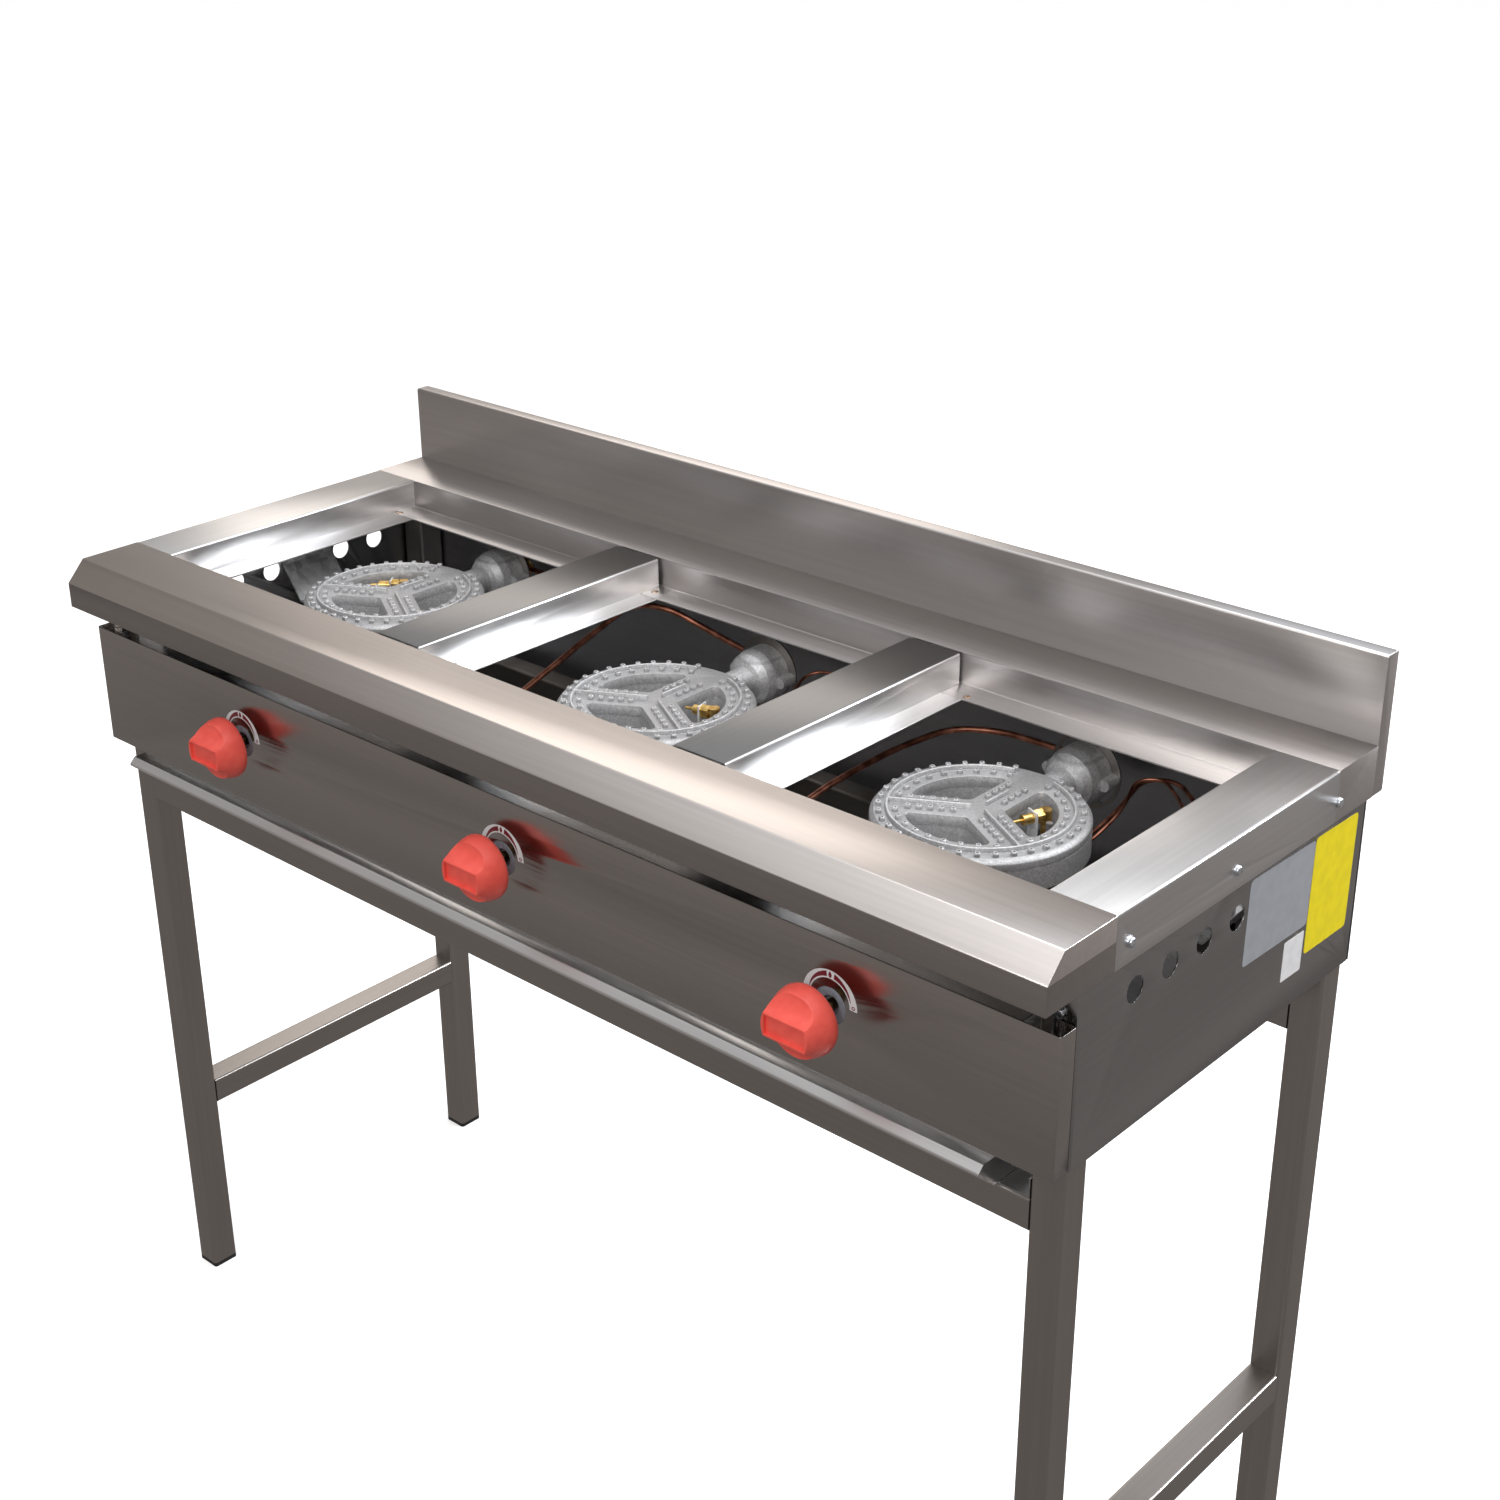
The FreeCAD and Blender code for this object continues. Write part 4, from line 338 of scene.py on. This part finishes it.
finishes = {
    # The rail's top and slope are painted 1.85 times lighter than its upright nose: a painted highlight.
    "rail_along_x": brushed("rail_steel_along_x", RAIL_TINT, "X", top=(NOSE_LEVEL, 1.85)),
    "top_along_x": brushed("top_steel_along_x", TOP_TINT, "X"),
    # The bars' upper faces are painted at 0.28 of their walls' tint: painted shade.
    "bar_along_y": brushed("top_steel_along_y", BAR_TINT, "Y", top=(WORK_FLAT_LEVEL, 0.28)),
    "end_along_y": brushed("end_steel_along_y", END_TINT, "Y"),
    # The panel's top flange is painted at 0.12 of its face's tint: a painted shadow under the nose.
    "body_along_x": brushed("body_steel_along_x", BODY_TINT, "X", roughness=0.22, contrast=0.04,
                            top=(PANEL_FLAT_LEVEL, 0.12)),
    "body_along_y": brushed("body_steel_along_y", SIDE_TINT, "Y", roughness=0.22, contrast=0.04),
    "back_along_x": brushed("back_steel_along_x", BACK_TINT, "X", roughness=0.3, contrast=0.04),
    "stand_along_x": brushed("stand_steel_along_x", STAND_TINT, "X"),
    "stand_along_y": brushed("stand_steel_along_y", STAND_TINT, "Y"),
    "stand_along_z": brushed("stand_steel_along_z", STAND_TINT, "Z"),
    "tray_steel": brushed("tray_steel", TRAY_TINT, "X"),
    "beam_steel": brushed("beam_steel", BEAM_TINT_IN_SHADE, "X", roughness=0.5),
    "shutter_steel": brushed("shutter_steel", PLAIN_TINT, "Z", roughness=0.4),
    "pipe_steel": brushed("pipe_steel", PIPE_TINT, "X", roughness=0.5),
    "probe_steel": brushed("probe_steel", PROBE_TINT, "Z", roughness=0.35),
}
print(len(finishes), "steels")

# %% [markdown]
# ## Cast, plated and coloured metals
#
# The burners are sand-cast iron painted silver: a matt grey with a grain of about a millimetre, darker in the hollows
# of the grain as painted shade, with a band of soot and painted shade on the plate between the ports. Zinc plate is
# bluish and smooth, galvanised sheet shows its frost-like crystals, which a Voronoi texture draws as cells of
# different grey. Brass and copper tarnish in patches. All scales are grains, cells or patches per metre.

# %% Cast, plated and coloured metals
SAND = 1400.0
LUMPS = 350.0
SAND_SHARE = 0.6
SAND_SWING = 0.2
SAND_BUMP = 0.55
SAND_DEPTH = 0.0009
CAST_STEP = (0.3, 0.7)
SOOT_AND_SHADE_BAND = 0.0022
SOOT_AND_SHADE_CLEAR = 0.0004
SOOT_AND_SHADE_DEPTH = 0.42
SOOT_AND_SHADE_COLOUR = (0.20, 0.20, 0.205, 1)
RIB_TO_PLATE = 0.0045
PLATE_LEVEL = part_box("burner_head_middle")[1].z - RIB_TO_PLATE
CRYSTALS = 130.0
HAZE = 60.0
CRYSTAL_SWING = 0.16
HAZE_SWING = 0.08
TARNISH_STEP = (0.32, 0.68)
TARNISH_SWING = 0.15
METAL_GRAIN = 1800.0
METAL_BUMP = 0.12
MOTTLES = 90.0
MOULD_GRAIN = 2600.0
MOULD_SWING = 0.12
MOULD_BUMP = 0.10
SOFT_STEP = (0.3, 0.7)
SKIN_DEPTH = 0.0002


def cast_silver():
    """
    Skin is sand times its share plus lumps times the rest, darker in its hollows as painted shade. Soot and painted
    shade are full at the plate's level and fade to nothing one band above and below it.
    """
    finish = Finish("cast_silver", metallic=0.62)
    sand = finish.noise([SAND] * 3, detail=2.0)
    lumps = finish.noise([LUMPS] * 3, detail=3.0)
    skin = sand * SAND_SHARE + lumps * (1 - SAND_SHARE)
    # Painted shade: the colour follows the skin, the same height as the bump, so the hollows of the grain are darker.
    paint_and_hollow_shade = finish.blend(skin.step(*CAST_STEP), (0.40, 0.40, 0.407, 1), (0.74, 0.74, 0.75, 1))
    height = finish.node("ShaderNodeSeparateXYZ", {}, {0: finish.place()}, output="Z")
    # Soot and painted shade: a dark band at the plate's level, between the ports.
    below = height.step(PLATE_LEVEL - SOOT_AND_SHADE_BAND, PLATE_LEVEL)
    above = height.step(PLATE_LEVEL + SOOT_AND_SHADE_CLEAR, PLATE_LEVEL + SOOT_AND_SHADE_BAND)
    colour = finish.blend(below * (1 - above) * SOOT_AND_SHADE_DEPTH, paint_and_hollow_shade, SOOT_AND_SHADE_COLOUR)
    return finish.wear(
        base_color=colour,
        roughness=0.36 + sand * SAND_SWING,
        normal=finish.bump(skin, SAND_BUMP, SAND_DEPTH),
    )


def galvanised():
    """Zinc crystals: cells of different grey; the roughness is a base plus the cell's share plus a little haze."""
    finish = Finish("galvanised", metallic=0.45)
    cells = finish.node("ShaderNodeTexVoronoi", {}, {"Vector": finish.place(), "Scale": CRYSTALS}, output="Color")
    crystal = finish.node("ShaderNodeSeparateColor", {}, {0: cells})
    haze = finish.noise([HAZE] * 3)
    colour = finish.blend(crystal, (0.55, 0.57, 0.59, 1), (0.90, 0.91, 0.92, 1))
    return finish.wear(base_color=colour, roughness=0.24 + crystal * CRYSTAL_SWING + haze * HAZE_SWING)


def plain_metal(name, dark, light, patches, roughness, metallic=1.0):
    """A coloured metal whose tarnish lies in patches; patches is their number per metre."""
    finish = Finish(name, metallic=metallic)
    tarnish = finish.noise([patches] * 3, detail=4.0)
    grain = finish.noise([METAL_GRAIN] * 3)
    return finish.wear(
        base_color=finish.blend(tarnish.step(*TARNISH_STEP), dark, light),
        roughness=roughness + tarnish * TARNISH_SWING,
        normal=finish.bump(grain, METAL_BUMP, SKIN_DEPTH),
    )


def moulded(name, dark, light, roughness):
    """Moulded plastic: even colour with a faint mottle and a fine moulded texture."""
    finish = Finish(name)
    mottle = finish.noise([MOTTLES] * 3, detail=3.0)
    texture = finish.noise([MOULD_GRAIN] * 3)
    return finish.wear(
        base_color=finish.blend(mottle.step(*SOFT_STEP), dark, light),
        roughness=roughness + texture * MOULD_SWING,
        normal=finish.bump(texture, MOULD_BUMP, SKIN_DEPTH),
    )


finishes["cast_iron_silver"] = cast_silver()
finishes["galvanised"] = galvanised()
finishes["zinc_screws"] = plain_metal("zinc_screws", (0.50, 0.54, 0.60, 1), (0.80, 0.83, 0.87, 1), 300.0, 0.22)
finishes["brass"] = plain_metal("brass", (0.46, 0.27, 0.07, 1), (0.85, 0.60, 0.22, 1), 160.0, 0.22)
finishes["copper"] = plain_metal("copper", (0.20, 0.075, 0.045, 1), (0.50, 0.21, 0.14, 1), 70.0, 0.34)
finishes["red_plastic"] = moulded("red_plastic", (0.86, 0.100, 0.075, 1), (0.94, 0.125, 0.095, 1), 0.38)
finishes["tap_zinc"] = plain_metal("tap_zinc", (0.30, 0.36, 0.42, 1), (0.42, 0.50, 0.57, 1), 200.0, 0.3, metallic=0.2)
# The stems' brass is darkened far below the brass above: painted shade for the hole round them.
finishes["shaded_brass"] = plain_metal("shaded_brass", (0.06, 0.045, 0.025, 1), (0.26, 0.18, 0.08, 1), 260.0, 0.3)
finishes["black_plastic"] = moulded("black_plastic", (0.012, 0.012, 0.013, 1), (0.022, 0.022, 0.024, 1), 0.45)
print(len(finishes), "finishes in all")

# %% [markdown]
# ## Which piece wears which finish
#
# The record names a slot for every node. The finish of ground steel also depends on which way the piece runs: legs
# are ground upright, rails along the range, end and middle bars across it. The taps have a metal of their own, and
# the knobs' stems a brass darkened as painted shade for the dark hole they sit in.

# %% Finish each node
FINISH_OF = {
    "front_rail": "stand_along_x", "rear_rail": "stand_along_x",
    "side_rail_left": "stand_along_y", "side_rail_right": "stand_along_y",
    "leg_front_left": "stand_along_z", "leg_front_right": "stand_along_z",
    "leg_rear_left": "stand_along_z", "leg_rear_right": "stand_along_z",
    "top_front_rail": "rail_along_x", "rear_ledge": "top_along_x", "splash_back": "top_along_x",
    "end_bar_left": "end_along_y", "end_bar_right": "end_along_y",
    "mid_bar_left": "bar_along_y", "mid_bar_right": "bar_along_y",
    "control_panel": "body_along_x", "back_panel": "back_along_x",
    "gas_taps": "tap_zinc",
    "knob_stem_left": "shaded_brass", "knob_stem_middle": "shaded_brass", "knob_stem_right": "shaded_brass",
    "side_panel_left": "body_along_y", "side_panel_right": "body_along_y",
    "tray_runner_left": "body_along_y", "tray_runner_right": "body_along_y",
}
slot_of = {part["node"]: part["material_slot"] for part in frame["record"]["subparts"]}
for name, node in nodes.items():
    finish_name = FINISH_OF.get(name) or slot_of.get(name)
    node.data.materials.clear()
    node.data.materials.append(finishes[finish_name])
print("every node has its finish")

# %% [markdown]
# ## Skins from grids
#
# Every added piece is a skin over a grid of points: rows run along it, columns go round it. Rows that shrink to a
# point close an end. All points are worked out at once as an array, and one helper turns the array into a mesh,
# merges the points that meet at the poles and turns every face outwards.

# %% Skins
MERGE = 1e-6


def closed(mesh):
    """Merges points that coincide and turns the faces outwards."""
    work = bmesh.new()
    work.from_mesh(mesh)
    bmesh.ops.remove_doubles(work, verts=work.verts, dist=MERGE)
    bmesh.ops.recalc_face_normals(work, faces=work.faces)
    work.to_mesh(mesh)
    work.free()


def show(name, mesh, finish, carrier):
    """Links a mesh as a piece in the given finish that rides with the node that carries it."""
    mesh.materials.clear()
    mesh.materials.append(finish)
    piece = bpy.data.objects.new(name, mesh)
    bpy.context.scene.collection.objects.link(piece)
    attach(piece, nodes[carrier]["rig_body"])
    return piece


def skin(name, points, finish, carrier, smooth=True):
    """A piece from points of shape (copies, rows, columns, 3); the columns wrap round, and rows join to rows."""
    copies, rows, columns, _ = points.shape
    index = np.arange(copies * rows * columns).reshape(copies, rows, columns)
    beside = np.roll(index, -1, axis=2)
    faces = np.stack([index[:, :-1], beside[:, :-1], beside[:, 1:], index[:, 1:]], axis=-1).reshape(-1, 4)
    mesh = bpy.data.meshes.new(name)
    mesh.from_pydata(points.reshape(-1, 3).tolist(), [], faces.tolist())
    closed(mesh)
    mesh.polygons.foreach_set("use_smooth", [smooth] * len(mesh.polygons))
    return show(name, mesh, finish, carrier)


# %% [markdown]
# ## Softer edges on mouldings, castings and folded sheets
#
# A moulded knob or a casting has no sharp edge, and a sheet is round along its folds, where it draws thin bright
# lines. Each keeps its CAD shape: its mesh is copied, the loose triangles are merged, flat patches are joined, and a
# Bevel rounds what is left. The copy then stands for the node.

# %% Rounded copies
FLAT_ANGLE = math.radians(0.5)
EDGE_ANGLE = math.radians(32)
KNOB_EDGE = 0.0011
HEAD_EDGE = 0.0007
SHEET_EDGE = 0.00055


def rounded(node_name, width, segments):
    """A copy of a node whose edges are rounded by width in metres."""
    mesh = nodes[node_name].data.copy()
    work = bmesh.new()
    work.from_mesh(mesh)
    bmesh.ops.remove_doubles(work, verts=work.verts, dist=MERGE)
    bmesh.ops.dissolve_limit(work, angle_limit=FLAT_ANGLE, verts=work.verts, edges=work.edges)
    work.to_mesh(mesh)
    work.free()
    mesh.polygons.foreach_set("use_smooth", [True] * len(mesh.polygons))
    piece = show(node_name + "_rounded", mesh, nodes[node_name].data.materials[0], node_name)
    bevel = piece.modifiers.new("edges", "BEVEL")
    bevel.width = width
    bevel.segments = segments
    bevel.limit_method = "ANGLE"
    bevel.angle_limit = EDGE_ANGLE
    bevel.harden_normals = True
    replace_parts(piece, node_name)
    return piece


PLACES = ("left", "middle", "right")
for place in PLACES:
    rounded("knob_" + place, KNOB_EDGE, 3)
    rounded("burner_head_" + place, HEAD_EDGE, 2)
SHEETS = ("top_front_rail", "end_bar_left", "end_bar_right", "mid_bar_left", "mid_bar_right", "rear_ledge",
          "splash_back", "control_panel", "side_panel_left", "side_panel_right")
for sheet in SHEETS:
    rounded(sheet, SHEET_EDGE, 2)
print("knobs, burner heads and sheets rounded")

# %% [markdown]
# The back panel laps over the rear rail. Its dressed copy steps in below the side panels, so that its lower corners
# lie behind the legs: two level cuts a hair apart give it the step, and the points under them move inwards.

# %% Back panel
STEP_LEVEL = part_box("side_panel_right")[0].z
STEP_HAIR = 0.0005
LEG_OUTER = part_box("leg_rear_right")[1].x
LEG_COVER = 0.003

back = nodes["back_panel"].data.copy()
work = bmesh.new()
work.from_mesh(back)
bmesh.ops.remove_doubles(work, verts=work.verts, dist=MERGE)
for level in (STEP_LEVEL, STEP_LEVEL - STEP_HAIR):
    everything = work.verts[:] + work.edges[:] + work.faces[:]
    bmesh.ops.bisect_plane(work, geom=everything, plane_co=(0, 0, level), plane_no=(0, 0, 1))
for vertex in work.verts:
    if vertex.co.z < STEP_LEVEL - STEP_HAIR / 2 and abs(vertex.co.x) > LEG_OUTER:
        vertex.co.x = math.copysign(LEG_OUTER - LEG_COVER, vertex.co.x)
work.to_mesh(back)
work.free()
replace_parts(show("back_panel_dressed", back, finishes["back_along_x"], "back_panel"), "back_panel")
print("the back panel steps in below z =", round(STEP_LEVEL, 4))

# %% [markdown]
# ## The ports on the burners
#
# The flames come out of small square nubs, each with a drilled hole in its top. They stand in two rows round the
# ring, one on each side of the raised rib, and in a row on each side of the three spokes. One nub is a profile
# turned round a square; all the nubs of a burner are that profile placed by angle and radius.

# %% Ports
NUB_HALF = 0.0024
NUB_HEIGHT = 0.0036
NUB_HOLE = 0.0013
NUB_HOLE_DEPTH = 0.0030
NUB_SUNK = 0.0004
NUB_SQUARENESS = 4.0
NUB_COLUMNS = 8
NUB_FOOT = 1.12
NUB_SHOULDER = 1.04
NUB_SHOULDER_HEIGHT = 0.8
NUB_CROWN = 0.86
NUB_CROWN_SQUARE = 0.8
NUB_HOLE_TAPER = 0.9
OUTER_ROW_RADIUS = 0.0860
OUTER_ROW_COUNT = 34
INNER_ROW_RADIUS = 0.0718
INNER_ROW_COUNT = 29
ROW_START = math.radians(106)
ROW_END = math.radians(434)
SPOKE_ANGLES = [math.radians(angle) for angle in (90, 210, 330)]
SPOKE_KEEP_OUT = math.radians(4.0)
SPOKE_ROW_OFFSET = 0.0085
SPOKE_ROW_START = 0.022
SPOKE_ROW_PITCH = 0.0096
SPOKE_ROW_COUNTS = (4, 5, 5)


def nub_profile():
    """The nub's skin about its own axis: up the outside, over the top, down the hole, closed at both ends."""
    radius = np.array([0, NUB_HALF * NUB_FOOT, NUB_HALF * NUB_SHOULDER, NUB_HALF * NUB_CROWN,
                       NUB_HOLE, NUB_HOLE * NUB_HOLE_TAPER, 0])
    top = np.array([-NUB_SUNK, -NUB_SUNK, NUB_HEIGHT * NUB_SHOULDER_HEIGHT, NUB_HEIGHT, NUB_HEIGHT,
                    NUB_HEIGHT - NUB_HOLE_DEPTH, NUB_HEIGHT - NUB_HOLE_DEPTH])
    squared = np.array([1, 1, 1, NUB_CROWN_SQUARE, 0, 0, 0])
    turn = np.arange(NUB_COLUMNS) * 2 * np.pi / NUB_COLUMNS
    reach = (np.abs(np.cos(turn)) ** NUB_SQUARENESS + np.abs(np.sin(turn)) ** NUB_SQUARENESS) ** (-1 / NUB_SQUARENESS)
    reach = 1 + squared[:, None] * (reach[None, :] - 1)
    across = radius[:, None] * reach * np.cos(turn)
    along = radius[:, None] * reach * np.sin(turn)
    return across, along, np.repeat(top[:, None], NUB_COLUMNS, axis=1)


def nub_places():
    """Place and turn of each nub about the burner's centre: two rings, then a pair of rows per spoke."""
    rings = []
    for radius, count in ((OUTER_ROW_RADIUS, OUTER_ROW_COUNT), (INNER_ROW_RADIUS, INNER_ROW_COUNT)):
        angle = np.linspace(ROW_START, ROW_END, count)
        if radius == INNER_ROW_RADIUS:
            for spoke in SPOKE_ANGLES[1:]:
                angle = angle[np.abs(angle - spoke) > SPOKE_KEEP_OUT]
        rings.append(np.stack([radius * np.cos(angle), radius * np.sin(angle), angle], axis=1))
    for spoke, count in zip(SPOKE_ANGLES, SPOKE_ROW_COUNTS):
        reach = SPOKE_ROW_START + SPOKE_ROW_PITCH * np.arange(count)
        for side in (-1, 1):
            x = reach * np.cos(spoke) - side * SPOKE_ROW_OFFSET * np.sin(spoke)
            y = reach * np.sin(spoke) + side * SPOKE_ROW_OFFSET * np.cos(spoke)
            rings.append(np.stack([x, y, np.full(count, spoke)], axis=1))
    return np.concatenate(rings)


across, along, up = nub_profile()
places = nub_places()
turn_cos = np.cos(places[:, 2])[:, None, None]
turn_sin = np.sin(places[:, 2])[:, None, None]
nub_x = places[:, 0][:, None, None] + across * turn_cos - along * turn_sin
nub_y = places[:, 1][:, None, None] + across * turn_sin + along * turn_cos
nub_z = np.broadcast_to(up, nub_x.shape)
for place in PLACES:
    low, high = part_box("burner_head_" + place)
    centre = ((low.x + high.x) / 2, (low.y + high.y) / 2, high.z - RIB_TO_PLATE)
    points = np.stack([nub_x + centre[0], nub_y + centre[1], nub_z + centre[2]], axis=-1)
    skin("ports_" + place, points, finishes["cast_iron_silver"], "burner_head_" + place, smooth=False)
    print("burner", place, "at", [round(value, 4) for value in centre], "with", len(places), "ports")

# %% [markdown]
# ## Tack welds
#
# Small welds in the corners of the seats hold the bars to the ledge; the three that the photograph shows are drawn.
# A weld is a low dome, a circle whose rows rise and shrink to a point, in the brown of heat-tinted steel.

# %% Tack welds
WELD_PLACES = ((-0.5356, 0.1511), (-0.1521, 0.1604), (0.2437, 0.1545))
WELD_RADIUS = 0.0042
WELD_HEIGHT = 0.0016
WELD_SUNK = 0.0003
WELD_COLUMNS = 16
WELD_ROWS = 6
SEAT_DROP = 0.030

weld_finish = plain_metal("weld_tint", (0.20, 0.12, 0.08, 1), (0.55, 0.44, 0.36, 1), 500.0, 0.34)
turn = np.arange(WELD_COLUMNS) * 2 * np.pi / WELD_COLUMNS
rise = np.linspace(0, np.pi / 2, WELD_ROWS)
dome_radius = np.concatenate([[0.0], WELD_RADIUS * np.cos(rise)])[:, None]
dome_height = np.concatenate([[-WELD_SUNK], WELD_HEIGHT * np.sin(rise) - WELD_SUNK])[:, None]
domes = [np.stack([x + dome_radius * np.cos(turn), y + dome_radius * np.sin(turn),
                   WORK_LEVEL - SEAT_DROP + dome_height + 0 * turn], axis=-1) for x, y in WELD_PLACES]
skin("tack_welds", np.stack(domes), weld_finish, "rear_ledge")
print(len(domes), "tack welds on the seats")

# %% [markdown]
# ## Marks round the knobs
#
# Each knob has a half-ring sticker on the panel: a white band that carries a dark red wedge on each side of the flame
# mark, widest beside it. A band is a rectangle swept along an arc, with its inner and outer radius given at every
# angle, so the same function makes the white band, the wedges and the small ring at the off end.

# %% Dial marks
DIAL_SHIFT_X = 0.0002
DIAL_SHIFT_Z = 0.0040
DIAL_INNER = 0.0200
DIAL_OUTER = 0.0274
DIAL_BORDER = 0.0013
STICKER_THICK = 0.00012
PRINT_THICK = 0.00008
ARC_STEPS = 40
WEDGES = ((math.radians(98), math.radians(166)), (math.radians(80), math.radians(16)))
WEDGE_TIP = 0.0004
OFF_MARK_ANGLE = math.radians(6)
OFF_MARK_RADIUS = 0.0017
OFF_MARK_LINE = 0.0008
OFF_MARK_STEPS = 25
FLAME_HEIGHT = 0.0056
FLAME_WIDTH = 0.0034
FLAME_POINTS = 24
FLAME_TAPER = 0.55

sticker_white = moulded("sticker_white", (0.72, 0.72, 0.73, 1), (0.80, 0.80, 0.81, 1), 0.34)
sticker_red = moulded("sticker_red", (0.16, 0.012, 0.020, 1), (0.20, 0.018, 0.028, 1), 0.34)


def band(centre, inner, outer, angles, front, back):
    """A flat band on an upright plane: at each angle a rectangle from inner to outer radius, front to back."""
    inner, outer = np.broadcast_to(inner, angles.shape), np.broadcast_to(outer, angles.shape)
    radius = np.stack([inner, outer, outer, inner], axis=1)
    depth = np.broadcast_to([front, front, back, back], radius.shape)
    x = centre[0] + radius * np.cos(angles)[:, None]
    z = centre[1] + radius * np.sin(angles)[:, None]
    rows = np.stack([x, depth, z], axis=-1)
    caps = [rows[end].mean(axis=0, keepdims=True).repeat(4, axis=0)[None] for end in (0, -1)]
    return np.concatenate([caps[0], rows, caps[1]])[None]


def drop(centre, width, height, front, back):
    """A flame-shaped drop: a circle whose upper half narrows to a point, as a thin plate."""
    turn = np.linspace(0, 2 * np.pi, FLAME_POINTS, endpoint=False)
    x = centre[0] + width / 2 * np.cos(turn) * (1 - FLAME_TAPER * np.clip(np.sin(turn), 0, 1))
    z = centre[1] + height / 2 * np.sin(turn)
    outline = np.stack([x, np.zeros(FLAME_POINTS), z], axis=-1)
    middle = np.broadcast_to(outline.mean(axis=0), outline.shape)
    front, back = front * np.array([0.0, 1.0, 0.0]), back * np.array([0.0, 1.0, 0.0])
    return np.stack([middle + front, outline + front, outline + back, middle + back])[None]


panel_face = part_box("control_panel")[0].y
for place in PLACES:
    low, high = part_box("knob_stem_" + place)
    centre = ((low.x + high.x) / 2 + DIAL_SHIFT_X, (low.z + high.z) / 2 + DIAL_SHIFT_Z)
    base = panel_face - STICKER_THICK
    top = base - PRINT_THICK
    half_turn = np.linspace(0, np.pi, ARC_STEPS)
    skin("dial_band_" + place, band(centre, DIAL_INNER, DIAL_OUTER, half_turn, base, panel_face),
         sticker_white, "control_panel", smooth=False)
    for number, (start, end) in enumerate(WEDGES):
        angles = np.linspace(start, end, ARC_STEPS)
        fade = np.linspace(0, 1, ARC_STEPS)
        inner = DIAL_INNER + DIAL_BORDER
        outer = DIAL_OUTER - DIAL_BORDER - fade * (DIAL_OUTER - DIAL_INNER - 2 * DIAL_BORDER - WEDGE_TIP)
        skin(f"dial_wedge_{number}_{place}", band(centre, inner, outer, angles, top, base),
             sticker_red, "control_panel", smooth=False)
    middle = (DIAL_INNER + DIAL_OUTER) / 2
    off = (centre[0] + middle * math.cos(OFF_MARK_ANGLE), centre[1] + middle * math.sin(OFF_MARK_ANGLE))
    full_turn = np.linspace(0, 2 * np.pi, OFF_MARK_STEPS)
    skin("dial_off_" + place, band(off, OFF_MARK_RADIUS - OFF_MARK_LINE, OFF_MARK_RADIUS, full_turn, top, base),
         sticker_red, "control_panel", smooth=False)
    flame = (centre[0], centre[1] + middle)
    skin("dial_flame_" + place, drop(flame, FLAME_WIDTH, FLAME_HEIGHT, top, base), sticker_red, "control_panel",
         smooth=False)
print("dial marks on the panel at y =", round(panel_face, 4))

# %% [markdown]
# ## Stickers on the side
#
# Three stickers sit on the right side panel: a grey plate, a yellow one and a small white one. They are left blank
# here. Each is a thin slab with rounded corners, a superellipse that is almost a rectangle.

# %% Side stickers
SIDE_STICKERS = {
    "sticker_grey": {"y": (0.0495, 0.1510), "z": (0.7510, 0.8280), "colour": (0.31, 0.325, 0.35), "tilt": -1.5},
    "sticker_yellow": {"y": (0.1515, 0.2210), "z": (0.7200, 0.8270), "colour": (0.84, 0.69, 0.0), "tilt": -1.0},
    "sticker_code": {"y": (0.1155, 0.1472), "z": (0.7090, 0.7457), "colour": (0.74, 0.74, 0.75), "tilt": -1.5},
}
CORNER_POWER = 26.0
OUTLINE_POINTS = 64

side_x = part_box("side_panel_right")[1].x
for name, sticker in SIDE_STICKERS.items():
    y_low, y_high = sticker["y"]
    z_low, z_high = sticker["z"]
    turn = np.linspace(0, 2 * np.pi, OUTLINE_POINTS, endpoint=False) + np.pi / OUTLINE_POINTS
    power = 2 / CORNER_POWER
    u = np.sign(np.cos(turn)) * np.abs(np.cos(turn)) ** power * (y_high - y_low) / 2
    v = np.sign(np.sin(turn)) * np.abs(np.sin(turn)) ** power * (z_high - z_low) / 2
    tilt = math.radians(sticker["tilt"])
    y = (y_low + y_high) / 2 + u * math.cos(tilt) - v * math.sin(tilt)
    z = (z_low + z_high) / 2 + u * math.sin(tilt) + v * math.cos(tilt)
    rows = []
    for x, share in ((side_x, 0.0), (side_x, 1.0), (side_x + STICKER_THICK, 1.0), (side_x + STICKER_THICK, 0.0)):
        rows.append(np.stack([np.full(OUTLINE_POINTS, x), y.mean() + (y - y.mean()) * share,
                              z.mean() + (z - z.mean()) * share], axis=-1))
    paper = moulded(name + "_paper", shade(sticker["colour"], 0.94), shade(sticker["colour"], 1.04), 0.3)
    skin(name, np.stack(rows)[None], paper, "side_panel_right", smooth=False)
print(len(SIDE_STICKERS), "stickers at x =", round(side_x, 4))
